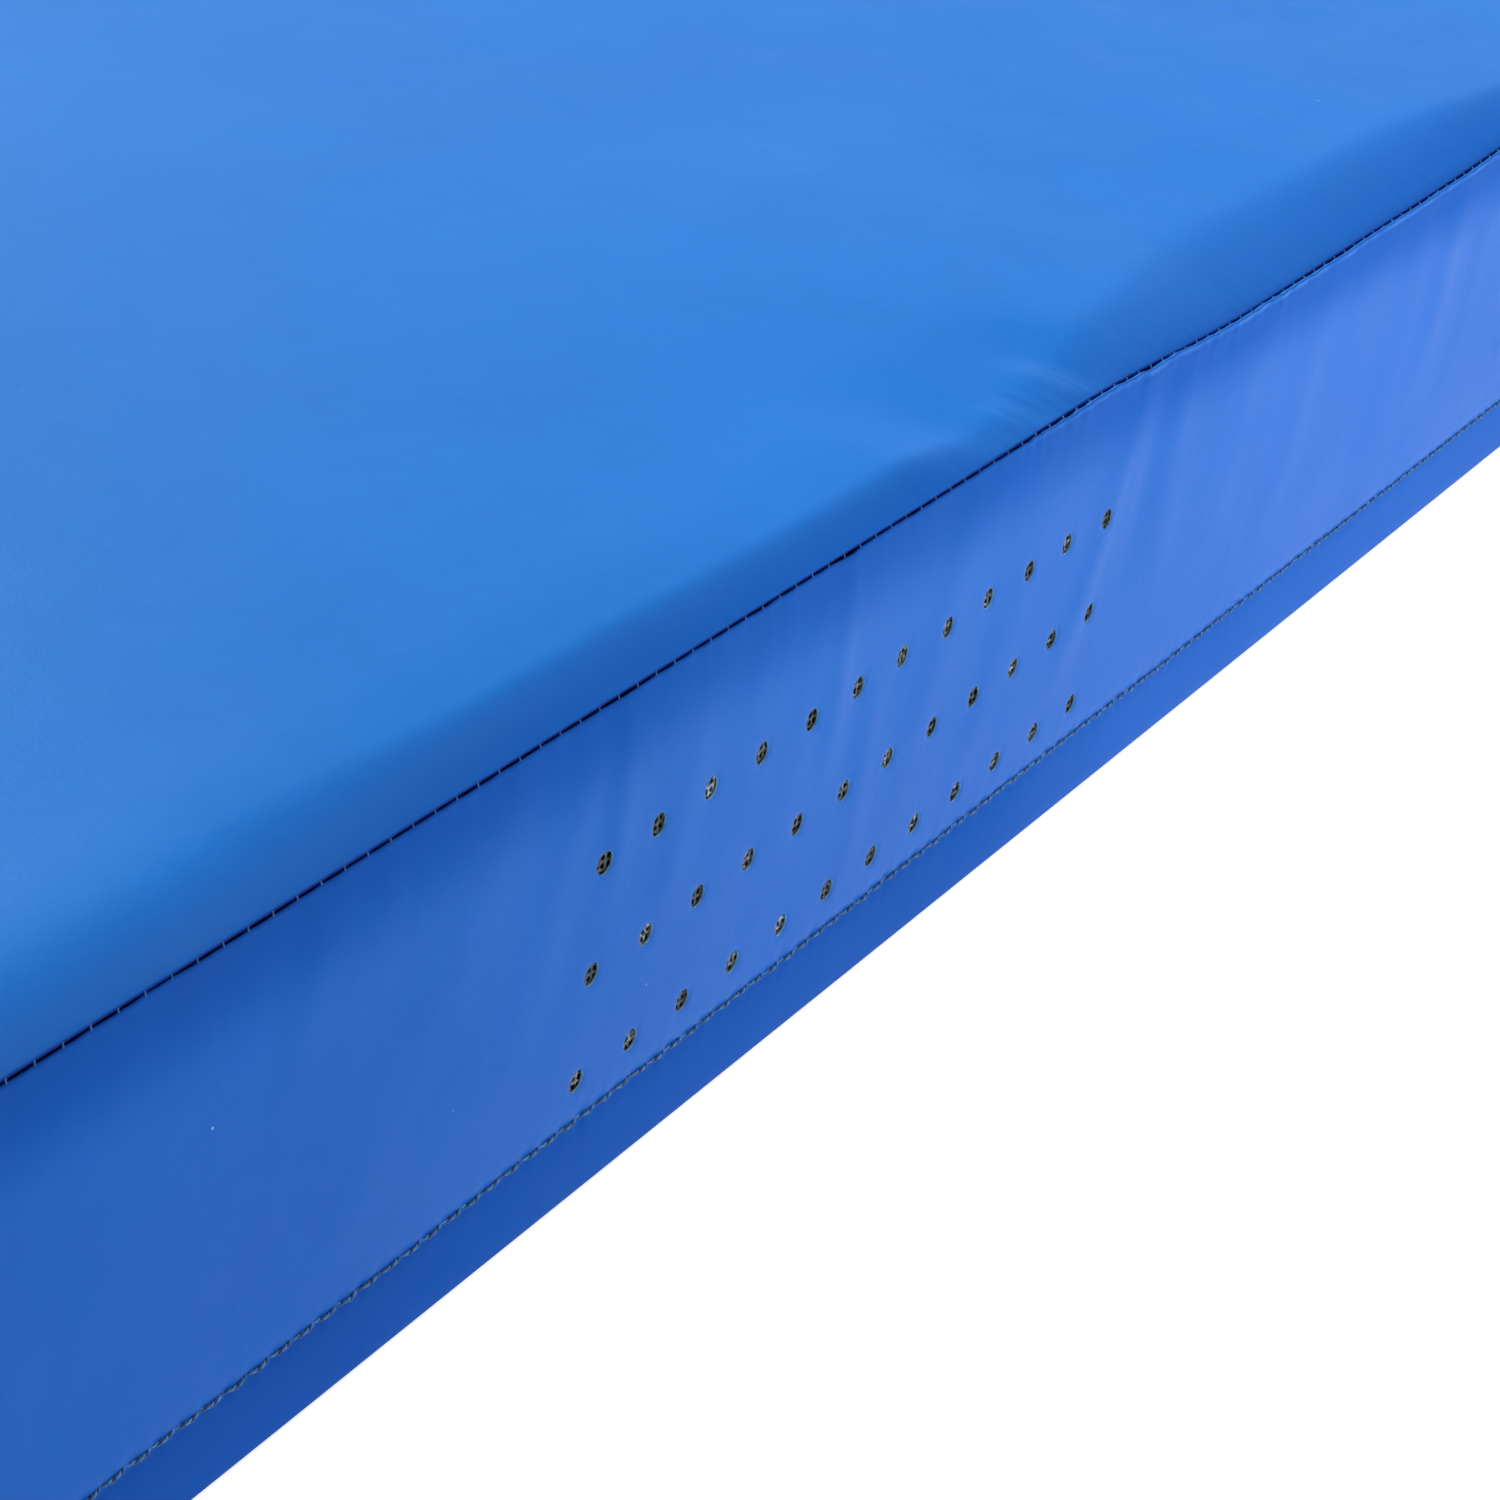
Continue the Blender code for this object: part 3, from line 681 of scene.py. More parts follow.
def pucker(s, away, seed, tuck=0.10 * MM):
    """The gathers beside a seam, `away` from it."""
    uneven = 0.6 + 0.4 * value_noise(s, 24 * MM, seed)
    stitches = -0.05 * MM * (0.5 + 0.5 * np.cos(2 * math.pi * s / STITCH)) * np.exp(-away / (3 * MM))
    ripples = RIPPLE * value_noise(s, 2.2 * MM, seed + 1) * np.exp(-away / (5 * MM))
    tucks = tuck * value_noise(s, 5.5 * MM, seed + 2) * np.exp(-away / (12 * MM))
    return uneven * (stitches + ripples + tucks)


def seam_inset(s, side):
    """How far in the seam lies from the flat of the side, as the corner of the foam is soft."""
    if side == "front":
        return stations(s, SEAM_INSET)
    return np.full(np.shape(s), PLAIN_INSET)


def lip_proud(s, side):
    """How far the side's fold stands out past the top's, along the slant of the seam."""
    if side == "front":
        return stations(s, LIP_PROUD)
    return np.zeros(np.shape(s))


def front_folds(s, z):
    total = np.zeros(np.shape(s))
    for upper, lower, width, height in FRONT_FOLDS:
        share = (upper[1] - z) / (upper[1] - lower[1])
        centre = upper[0] + (lower[0] - upper[0]) * share
        fade = smooth((share + 0.25) / 0.4) * smooth((1.3 - share) / 0.6)
        total += height * bell((s - centre) / width) * fade
    return total


def vent_sink(s, z):
    """The slight draw-in of the sheet round each punched vent."""
    heights = np.array(VENT_HEIGHTS)
    column = np.clip(np.round(s / VENT_PITCH - 0.5), -VENT_COLUMNS / 2, VENT_COLUMNS / 2 - 1)
    across = s - (column + 0.5) * VENT_PITCH
    up = z - heights[np.argmin(np.abs(z[:, None] - heights), axis=1)]
    away = np.hypot(across, up) - VENT_RADIUS
    return -0.12 * MM * smooth(1 - away / (0.5 * MM))


def side_relief(s, z, side):
    """How far a side stands outside its flat plane."""
    seed = SIDES[side].seed
    top = seam_height(s, side) - LIP_DEPTH
    below = np.maximum(top - z, 0)
    height = np.clip((z - HEM_Z) / (top - HEM_Z), 0, 1)
    bulge = BULGE * np.sin(math.pi * height**0.9)
    leaning = s - 0.22 * (z - THICKNESS / 2)
    waves = 0.30 * MM * value_noise(leaning, 23 * MM, seed)
    waves = waves + 0.22 * MM * value_noise(leaning, 11 * MM, seed + 5)
    waves = waves * (0.25 + 0.75 * height) * smooth(below / (6 * MM))
    proud = lip_proud(s, side) * smooth(1 - below / (4 * MM))
    if side == "front":
        waves = waves * 0.55 + front_folds(s, z)
        gathered = smooth((s - 0.01) / 0.05) * smooth((0.26 - s) / 0.08) * np.exp(-below / (3.5 * MM))
        proud = proud + 0.20 * MM * value_noise(s, 2.1 * MM, 151) * gathered
    waves = waves * smooth((z - HEM_Z) / (20 * MM))
    hem = -0.55 * MM * bell((z - HEM_Z) / (2.0 * MM)) * (0.8 + 0.2 * np.cos(2 * math.pi * s / STITCH))
    hem = hem + 0.10 * MM * value_noise(s, 2.5 * MM, seed + 7) * bell((z - HEM_Z) / (4 * MM))
    strip = 0.5 * MM * smooth((HEM_Z - z) / HEM_Z)
    roll = -seam_inset(s, side) * np.clip(1 - below / ROLL_DEPTH, 0, 1) ** 2
    total = bulge + waves + hem + strip + roll + proud + pucker(s, below, seed + 3)
    if side in ("front", "rear"):
        total = total + vent_sink(s, z)
    return total


QUARTER = FOLD * math.pi / 2


def at_height(z):
    """The v at which the upright part of a side has that height."""
    return z + QUARTER - FOLD


FOLD_TURN = 0.75 * math.pi  # a fold turns from upright to slanting down into the seam
SLANT = math.sqrt(0.5)  # share of a length along that slant that goes down, and in
LIP_Z = SEAM_Z - LIP_DEPTH  # where the side starts to turn into the seam
LEVEL_Z = 80 * MM  # above this a side rises and falls with its seam
V_LIP = at_height(LIP_Z)
V_END = V_LIP + FOLD_TURN * LIP + TUCK
V_START = -2 * MM


def side_section(s, v, side):
    """Outward offset and height across a side, from under its bottom edge up into the seam."""
    pinch = pinch_at(s)
    close = math.sqrt(2) * SEAM_GAP * (0.5 * pinch + 0.45 * value_noise(s, 8 * MM, 141))
    lean = np.arctan(2 * seam_inset(s, side) / ROLL_DEPTH)
    lip_z = seam_height(s, side) - LIP_DEPTH + close - HOLE_DRAW * pinch + lip_proud(s, side)
    lip_z = lip_z + LIP * np.sin(lean)
    under = np.clip(v, 0, QUARTER) / FOLD
    z = np.where(v < QUARTER, FOLD * (1 - np.cos(under)), v - QUARTER + FOLD)
    out = np.where(v < QUARTER, -FOLD * (1 - np.sin(under)) + np.minimum(v, 0), 0.0)
    z = z + smooth((z - LEVEL_Z) / (LIP_Z - LEVEL_Z)) * (lip_z - LIP_Z)
    over = np.clip(v - V_LIP, 0, None)
    turn = lean + np.clip(over / LIP / FOLD_TURN, 0, 1) * (FOLD_TURN - lean)
    tuck = np.clip(over - LIP * FOLD_TURN, 0, None) * SLANT
    z = np.where(v > V_LIP, lip_z + LIP * (np.sin(turn) - np.sin(lean)) - tuck, z)
    out = np.where(v > V_LIP, LIP * (np.cos(turn) - np.cos(lean)) - tuck, out)
    out = out - HOLE_DRAW * pinch * smooth((v - V_LIP + 3 * MM) / (3 * MM))
    return out, z


def slot_section(v, z, out, edge, direction):
    """Turns a strip of the end inwards at its edge beside the zip."""
    turn_start = at_height(edge - direction * LIP)
    over = np.clip((v - turn_start) * direction, 0, None)
    turn = np.clip(over / LIP, 0, math.pi / 2)
    tuck = np.clip(over - LIP * math.pi / 2, 0, None)
    z = np.where(over > 0, edge - direction * LIP * (1 - np.sin(turn)), z)
    out = np.where(over > 0, -LIP * (1 - np.cos(turn)) - tuck, out)
    return out, z


def round_corner(u, side, turns_in=True):
    """Distance along, offset outwards and direction, for a distance u round half of the corner."""
    straight = SIDES[side].half - CORNER
    arc = CORNER_ARC if turns_in else CORNER * math.pi / 4
    over = np.clip(np.abs(u) - straight, 0, None)
    turn = np.clip(over, 0, arc) / CORNER
    inward = np.clip(over - arc, 0, CORNER_LIP if turns_in else 0) / LIP
    beyond = np.clip(over - arc - CORNER_LIP, 0, None) if turns_in else 0.0
    facing = turn + inward
    along = np.minimum(np.abs(u), straight) + CORNER * np.sin(turn)
    along = along + LIP * (np.sin(facing) - np.sin(turn)) + beyond * np.cos(facing)
    out = -CORNER * (1 - np.cos(turn)) - LIP * (np.cos(turn) - np.cos(facing)) - beyond * np.sin(facing)
    return np.sign(u) * along, out, np.sign(u) * turn


def place_side(u, v, side, edge=None, direction=1):
    """Points of a side's outer face. `edge` is the height of a strip's edge beside the zip."""
    _, depth, along, outward, _ = SIDES[side]
    s, plan_out, turn = round_corner(u, side)
    out, z = side_section(s, v, side)
    if edge is not None:
        out, z = slot_section(v, z, out, edge, direction)
    out = out + side_relief(s, np.where(v > V_LIP, seam_height(s, side), z), side)
    s = s + out * np.sin(turn)
    distance = depth + plan_out + out * np.cos(turn)
    return s[:, None] * along + distance[:, None] * outward + z[:, None] * UP


def side_ends(side):
    """The u lines round the corner at each end of a side."""
    straight = SIDES[side].half - CORNER
    arc = straight + np.linspace(0, CORNER_ARC, 4)
    lip = straight + CORNER_ARC + np.linspace(0, CORNER_LIP, 5)
    line = joined(arc, lip, [straight + CORNER_ARC + CORNER_LIP + TUCK])
    return -line[::-1], line


def rows_at(*heights):
    """The v lines at these heights in millimetres."""
    return at_height(np.array(heights) * MM)


FOLD_ROWS = joined([V_START, -1.0 * MM], np.linspace(0, QUARTER, 4))
LIP_ROWS = joined(V_LIP + LIP * np.linspace(0, FOLD_TURN, 8), [V_END])
COARSE_LIP_ROWS = joined(V_LIP + LIP * np.linspace(0, FOLD_TURN, 5), [V_END])
HEM_ROWS = rows_at(4, 8, 11.5, 13.5, 14.5, 15.2, 15.7, 16.2, 16.7, 17.4, 18.4, 19.8, 21.5)
UPPER_ROWS = joined(
    rows_at(73.5, 76.5, 79.5, 82.5, 85.2, 87.6, 89.6, 91.4),
    rows_at(93, 94.4, 95.6, 96.5, 97.3, 98.0, 98.6),
)
COARSE_LOW = joined(FOLD_ROWS, rows_at(5, 12, 14.5, 15.2, 16.2, 17.4, 21.5))
COARSE_MIDDLE = rows_at(21.5, 30, 38, 47.5, 56, 65, 73.5)
COARSE_HIGH = joined(rows_at(73.5, 80, 86, 91, 94.5, 96.8), COARSE_LIP_ROWS)
VENT_ROWS = at_height(np.arange(21.5, 73.6, 1.0) * MM)
PLAIN_ROWS = at_height(np.arange(21.5, 73.6, 4.0) * MM)
VENT_FIELD = (VENT_COLUMNS - 1) / 2 * VENT_PITCH + VENT_CELLS * MM


VENT_CENTRES = [(u, at_height(z)) for u, z in VENT_PLACES]


def in_vent(u, v):
    reach = VENT_CELLS * MM
    return any(abs(u - centre_u) < reach and abs(v - centre_v) < reach for centre_u, centre_v in VENT_CENTRES)


def punch_vents(uv, faces, find):
    """Fills each vent's square with rings of faces that leave a round hole."""
    count = 8 * VENT_CELLS
    square = [(VENT_CELLS, k) for k in range(VENT_CELLS)]
    square += [(VENT_CELLS - k, VENT_CELLS) for k in range(2 * VENT_CELLS)]
    square += [(-VENT_CELLS, VENT_CELLS - k) for k in range(2 * VENT_CELLS)]
    square += [(k - VENT_CELLS, -VENT_CELLS) for k in range(2 * VENT_CELLS)]
    square += [(VENT_CELLS, k - VENT_CELLS) for k in range(VENT_CELLS)]
    angles = np.arange(count) * 2 * math.pi / count
    circle = np.column_stack([np.cos(angles), np.sin(angles)])
    points = [uv]
    total = len(uv)
    for centre_u, centre_v in VENT_CENTRES:
        outer = [find(centre_u + a * MM, centre_v + b * MM) for a, b in square]
        for radius in (VENT_RADIUS + 0.55 * MM, VENT_RADIUS + 0.22 * MM, VENT_RADIUS):
            points.append(np.array((centre_u, centre_v)) + circle * radius)
            ring = list(range(total, total + count))
            total += count
            for k in range(count):
                n = (k + 1) % count
                faces.append([ring[k], outer[k], outer[n], ring[n]])
            outer = ring
    return np.vstack(points), faces


def long_side_blocks(side):
    left_end, right_end = side_ends(side)
    straight = SIDES[side].half - CORNER
    fine_low, fine_high = (FINE_START, MEDIUM_END) if side == "front" else (-VENT_FIELD, VENT_FIELD)
    left = joined(left_end, multiples(3 * MM, -straight, fine_low))
    right = joined(multiples(3 * MM, fine_high, straight), right_end)
    blocks = []
    for columns in (left, right):
        blocks += [(columns, COARSE_LOW), (columns, COARSE_MIDDLE), (columns, COARSE_HIGH)]
    if side == "front":
        fine = joined(multiples(1 * MM, FINE_START, FINE_END), multiples(2 * MM, FINE_END, MEDIUM_END))
        blocks.append((fine, joined(FOLD_ROWS, HEM_ROWS)))
        blocks.append((fine, joined(UPPER_ROWS, LIP_ROWS)))
        blocks.append((multiples(3 * MM, FINE_START, -VENT_FIELD), PLAIN_ROWS))
        blocks.append((multiples(3 * MM, VENT_FIELD, MEDIUM_END), PLAIN_ROWS))
    else:
        coarse = multiples(3 * MM, -VENT_FIELD, VENT_FIELD)
        blocks.append((coarse, COARSE_LOW))
        blocks.append((coarse, COARSE_HIGH))
    blocks.append((multiples(1 * MM, -VENT_FIELD, VENT_FIELD), VENT_ROWS))
    return blocks


def finish_piece(piece, slot, *nodes, body=BODY):
    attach(piece, body)
    if nodes:
        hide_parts(*nodes)
    return piece


def side_painted_shading(u, v, side):
    """Painted shade where a side turns into the seam, a little beside it and below the hem, and on the front
    towards its left end.
    Below 0 it is a painted highlight along the crest of the fold."""
    in_seam = smooth((v - V_LIP - 0.30 * MM) / (0.7 * MM))
    beside = 0.34 * smooth(1 - (V_LIP - v) / (24 * MM))
    low = at_height(HEM_Z) - v
    strip = (0.38 - 0.10 * np.clip(low / HEM_Z, 0, 1)) * smooth(low / (1.2 * MM))
    left = crest = 0.0
    # On the front the painted shade in the seam gives way, to the right, to a painted highlight on the fold's
    # crest, and more painted shade darkens the front towards its left end.
    if side == "front":
        in_seam = in_seam * (1 - 0.85 * smooth((u - 0.055) / 0.045))
        uneven = 0.65 + 0.35 * value_noise(u, 3 * MM, 161)
        crest = 0.75 * uneven * bell((v - V_LIP - 0.20 * MM) / (0.24 * MM)) * smooth((u - 0.035) / 0.06)
        left = 0.14 * smooth((-0.02 - u) / 0.22)
        strip = strip * (1 - 0.45 * smooth((u - 0.02) / 0.14))
    return np.clip(np.maximum(in_seam, beside + strip + left), 0, 1) * (1 - crest) - crest


def finish_cover(piece, node, rests_on="soft_foam_core", **flat):
    """Attaches a piece of cover to the mat's body and hides its frame part. The size it is cut to is not
    used.
    """
    finish_piece(piece, "cover_vinyl", node)


def add_long_side(side):
    uv, faces, find = patchwork(long_side_blocks(side), in_vent)
    uv, faces = punch_vents(uv, faces, find)
    piece = thick_sheet(
        f"{side}_side_cover",
        place_side(uv[:, 0], uv[:, 1], side),
        faces,
        FINISH["cover_vinyl"],
        edge_material=FINISH["cut_vinyl"],
        # painted shade and painted highlight of the side
        painted_shading=side_painted_shading(uv[:, 0], uv[:, 1], side),
    )
    finish_cover(piece, f"{side}_panel", flat=(2 * HALF_LENGTH + ALLOWANCE, SIDE_CUT))


def add_end(name, side, node, rows, edge=None, direction=1, cut=SIDE_CUT):
    left_end, right_end = side_ends(side)
    straight = SIDES[side].half - CORNER
    columns = joined(left_end, multiples(3 * MM, -straight, straight), right_end)
    uv, faces, _ = patchwork([(columns, rows)])
    outer = place_side(uv[:, 0], uv[:, 1], side, edge, direction)
    # Painted shade and painted highlight of the end
    painted_shading = side_painted_shading(uv[:, 0], uv[:, 1], side)
    piece = thick_sheet(name, outer, faces, FINISH["cover_vinyl"], painted_shading=painted_shading)
    finish_cover(piece, node, flat=(cut, 2 * HALF_WIDTH + ALLOWANCE))


def add_ends():
    full = joined(COARSE_LOW, COARSE_MIDDLE, COARSE_HIGH)
    add_end("left_end_cover", "left", "left_end_panel", full)
    turn = np.append(np.linspace(0, LIP * math.pi / 2, 5), LIP * math.pi / 2 + 2 * MM)
    for half, edge, direction in (("lower", SLOT_LOW, 1), ("upper", SLOT_HIGH, -1)):
        start = at_height(edge - direction * LIP)
        kept = full[(start - full) * direction > 1 * MM]
        rows = joined(kept, start + direction * turn)
        name = f"right_end_{half}"
        add_end(f"{name}_cover", "right", f"{name}_panel", rows, edge, direction, STRIP_CUT)


# The top of the cover

# Creases across the flat of the top: the two ends, the half width and the height
TOP_CREASES = (
    ((0.100, -0.300), (0.165, -0.345), 3.5 * MM, 0.10 * MM),
    ((0.120, -0.350), (0.175, -0.372), 3.0 * MM, -0.09 * MM),
    ((0.085, -0.330), (0.140, -0.385), 4.0 * MM, 0.08 * MM),
)
# Short folds that run in from the seam: x, length, half width and height
SEAM_FOLDS = (
    (0.080, 20 * MM, 6 * MM, 0.45 * MM),
    (0.066, 14 * MM, 3 * MM, -0.20 * MM),
    (0.056, 15 * MM, 3 * MM, 0.20 * MM),
    (0.047, 12 * MM, 2.5 * MM, -0.16 * MM),
    (0.092, 14 * MM, 3 * MM, -0.18 * MM),
    (0.038, 10 * MM, 2.5 * MM, 0.14 * MM),
)


def plateau(x, y):
    """Height of the flat of the top."""
    swell = 0.55 * MM * rolling(x, y, 0.16, 0.60, 5)
    ridge = 0.30 * MM * bell((y + HALF_WIDTH - 26 * MM) / (11 * MM)) * smooth((0.10 - x) / 0.10)
    level = SEAM_Z + TOP_RISE + swell + ridge
    for start, end, width, height in TOP_CREASES:
        run_x, run_y = end[0] - start[0], end[1] - start[1]
        length = math.hypot(run_x, run_y)
        along = ((x - start[0]) * run_x + (y - start[1]) * run_y) / length
        beside = ((y - start[1]) * run_x - (x - start[0]) * run_y) / length
        ends = smooth((along + 12 * MM) / (24 * MM)) * smooth((length + 12 * MM - along) / (24 * MM))
        level = level + height * bell(beside / width) * ends
    return level


# The rim of the top is laid out by q, which runs round the mat, and w, which runs in from the seam
RIM_HALF = {side: SIDES[side].half - CORNER + CORNER * math.pi / 4 for side in SIDES}
RIM_CENTRE = {
    "front": 0.0,
    "right": RIM_HALF["front"] + RIM_HALF["right"],
    "rear": 2 * RIM_HALF["front"] + 2 * RIM_HALF["right"],
    "left": 3 * RIM_HALF["front"] + 3 * RIM_HALF["right"],
}
RIM_START = -RIM_HALF["front"]
RIM_END = RIM_START + 4 * (RIM_HALF["front"] + RIM_HALF["right"])
LIP_START = -(FOLD_TURN * LIP + TUCK)
RIM_INSIDE = CORNER - 0.6 * MM  # from the edge to the ring where the corners turn square
RING_LENGTH = HALF_LENGTH - RIM_INSIDE
RING_WIDTH = HALF_WIDTH - RIM_INSIDE
RING_END = 60 * MM  # the w of the rim's last ring
CORNER_BAND = 14 * MM


def place_rim(q, w):
    """Points of the top near its edge."""
    points = np.zeros((len(q), 3))
    for side in SIDES:
        u = q - RIM_CENTRE[side]
        mine = np.abs(u) <= RIM_HALF[side] + ROUNDING
        points[mine] = place_rim_side(u[mine], w[mine], side)
    return points


def place_rim_side(u, w, side):
    half, depth, along, outward, _ = SIDES[side]
    s, plan_out, turn = round_corner(u, side, turns_in=False)
    pinch = pinch_at(s)
    proud = lip_proud(s, side)
    seam_z = seam_height(s, side) - proud
    rise = SEAM_Z + TOP_RISE - seam_z
    if side == "front":
        width, share, power = (stations(s, table) for table in (BAND_WIDTH, BAND_SHARE, BAND_POWER))
    else:
        width, share, power = PLAIN_BAND + 4 * MM * value_noise(s, 0.12, 91), np.ones(len(s)), PLAIN_POWER
    ends = smooth((half - np.abs(s) - 10 * MM) / (80 * MM))
    width = CORNER_BAND + (width - CORNER_BAND) * ends
    slope = np.arctan(power * share * rise / width)
    under = np.clip(-w, 0, None)
    angle = math.pi / 2 - slope - np.clip(under / LIP / FOLD_TURN, 0, 1) * (FOLD_TURN - slope)
    tuck = np.clip(under - FOLD_TURN * LIP, 0, None) * SLANT
    tip = LIP_DEPTH + seam_inset(s, side) + proud + (HOLE_DRAW - SLANT * SEAM_GAP) * pinch
    out = LIP * np.cos(angle) - tip - tuck - np.clip(w, 0, None)
    z = seam_z - LIP * (1 - np.sin(angle)) - tuck - HOLE_DRAW * pinch * smooth(1 - w / (4 * MM))
    near = np.maximum(out, -RIM_INSIDE)
    beyond = near - out
    ring_s = s + near * np.sin(turn)
    distance = depth + plan_out + near * np.cos(turn)
    points = ring_s[:, None] * along + distance[:, None] * outward
    for axis, reach in ((0, RING_LENGTH), (1, RING_WIDTH)):
        points[:, axis] *= (reach - beyond) / reach
    profile = share * (1 - (1 - np.clip(w / width, 0, 1)) ** power) + (1 - share) * smooth(w / (45 * MM))
    z = z + (plateau(points[:, 0], points[:, 1]) - z) * profile
    gathers = pucker(s, np.maximum(w, 0), 131, 0.04 * MM)
    if side == "front":
        fading = bell((s - 0.068) / 0.030) * np.exp(-np.maximum(w - 4 * MM, 0) / (6 * MM))
        gathers = gathers + 0.09 * MM * value_noise(s + 0.25 * w, 1.6 * MM, 137) * fading
        for x_fold, length, half_width, height in SEAM_FOLDS:
            inward = smooth(w / (3 * MM)) * smooth(2 - 2 * w / length)
            z = z + height * bell((s - x_fold) / half_width) * inward
    points[:, 2] = z + gathers * ends * smooth(w / (1.5 * MM)) * smooth((RING_END - w) / (20 * MM))
    return points


def rim_lines(step, fine):
    """The q lines round the whole rim, for one ring of blocks. `fine` holds the front's own."""
    lines = []
    for side in SIDES:
        straight = SIDES[side].half - CORNER
        whole = multiples(step, -straight, straight)
        if side == "front":
            whole = joined(whole[whole <= FINE_START], fine, whole[whole >= MEDIUM_END])
        corner = np.linspace(straight, RIM_HALF[side], 4)
        lines.append(RIM_CENTRE[side] + joined(-corner[::-1], whole, corner))
    return joined(*lines)


def add_top():
    """The top's rim in rings that get coarser inwards and away from the photographed stretch,
    then a flat grid inside them."""
    fine = joined(multiples(1 * MM, FINE_START, FINE_END), multiples(2 * MM, FINE_END, MEDIUM_END))
    narrow = rim_lines(3 * MM, fine)
    wide = rim_lines(6 * MM, multiples(3 * MM, FINE_START, MEDIUM_END))
    lip = -LIP * np.linspace(0, FOLD_TURN, 8)
    lip_rows = joined([LIP_START], lip, [1.0 * MM, 2.0 * MM, 3.2 * MM])
    few_lip_rows = joined([LIP_START], lip[::2], lip[-1:], [1.0 * MM, 3.2 * MM])
    band_rows = np.array([3.2, 4.4, 5.6, 7, 8.5, 10.2, 12, 14, 16.5, 19]) * MM
    few_band_rows = np.array([3.2, 5.6, 8.5, 12, 16.5, 19]) * MM
    inner_rows = np.array([19, 21.5, 24, 27, 30, 34, 39, 45, 52, 60]) * MM
    few_inner_rows = np.array([19, 24, 30, 39, 60]) * MM
    blocks = []
    for low, high, band_lines, ring_rows in (
        (RIM_START, FINE_START, wide, (few_lip_rows, few_band_rows, few_inner_rows)),
        (FINE_START, MEDIUM_END, narrow, (lip_rows, band_rows, inner_rows)),
        (MEDIUM_END, RIM_END, wide, (few_lip_rows, few_band_rows, few_inner_rows)),
    ):
        for lines, rows in zip((narrow, band_lines, wide), ring_rows):
            blocks.append((lines[(lines > low - ROUNDING) & (lines < high + ROUNDING)], rows))
    uv, faces, find = patchwork(blocks)
    rows = joined(*[block[1] for block in blocks])
    first_of = {find(RIM_END, row): find(RIM_START, row) for row in rows}
    faces = [[first_of.get(i, i) for i in face] for face in faces]
    rim = place_rim(uv[:, 0], uv[:, 1])
    last_ring = [find(q, RING_END) for q in wide[:-1]]
    outer, faces = add_flat(rim, faces, last_ring)
    painted_shading = np.zeros(len(outer))
    # Painted shade in the fold where the top turns down into the seam.
    painted_shading[: len(rim)] = smooth((0.05 * MM - uv[:, 1]) / (0.7 * MM))
    piece = thick_sheet("top_cover", outer, faces, FINISH["cover_vinyl"], painted_shading=painted_shading)
    finish_cover(piece, "top_panel", flat=(2 * HALF_WIDTH + ALLOWANCE, 2 * HALF_LENGTH + ALLOWANCE))


def add_flat(rim, faces, last_ring):
    """Fills the middle of the top inside its last ring."""
    x_lines = joined(
        multiples(24 * MM, -0.984, FINE_START),
        multiples(6 * MM, FINE_START, MEDIUM_END),
        multiples(24 * MM, MEDIUM_END, 0.984),
    )
    y_lines = joined(multiples(12 * MM, -0.480, -0.144), multiples(24 * MM, -0.144, 0.480))
    reach = RING_END - 0.5 * MM
    x, y = np.meshgrid(
        x_lines * (RING_LENGTH - reach) / RING_LENGTH,
        y_lines * (RING_WIDTH - reach) / RING_WIDTH,
    )
    outer = np.vstack([rim, np.column_stack([x.ravel(), y.ravel(), plateau(x.ravel(), y.ravel())])])
    faces = faces + grid_faces(*x.shape, len(rim))
    return outer, faces + zipper(outer, last_ring, grid_border(*x.shape, len(rim)))


def zipper(points, outside, inside):
    """Triangles between two closed loops that run the same way round, the first outside."""

    def in_order(loop):
        angles = [math.atan2(points[n][1] / HALF_WIDTH, points[n][0] / HALF_LENGTH) for n in loop]
        first = int(np.argmin(angles))
        return loop[first:] + loop[:first], sorted(angles)

    outside, outer_angles = in_order(outside)
    inside, inner_angles = in_order(inside)
    faces = []
    i = j = 0
    while i < len(outside) or j < len(inside):
        a, b = outside[i % len(outside)], inside[j % len(inside)]
        if j >= len(inside) or (i < len(outside) and outer_angles[i] <= inner_angles[j]):
            i += 1
            faces.append([a, outside[i % len(outside)], b])
        else:
            j += 1
            faces.append([a, inside[j % len(inside)], b])
    return faces


# The stitching


def hem_path(side, hole, samples):
    """One stitch of the hem: over the sheet from one needle hole to the next."""
    t = np.linspace(-0.5, 0.5, samples)
    s = (hole + 0.5 + t * 0.96) * STITCH
    z = HEM_Z + 0.25 * MM * value_noise(s, 37 * MM, 201) + 0.12 * MM * value_noise(s, 7 * MM, 202)
    lift = 0.30 * MM - 0.55 * MM * (2 * np.abs(t)) ** 3
    return place_side(s, at_height(z), side) + lift[:, None] * SIDES[side].outward


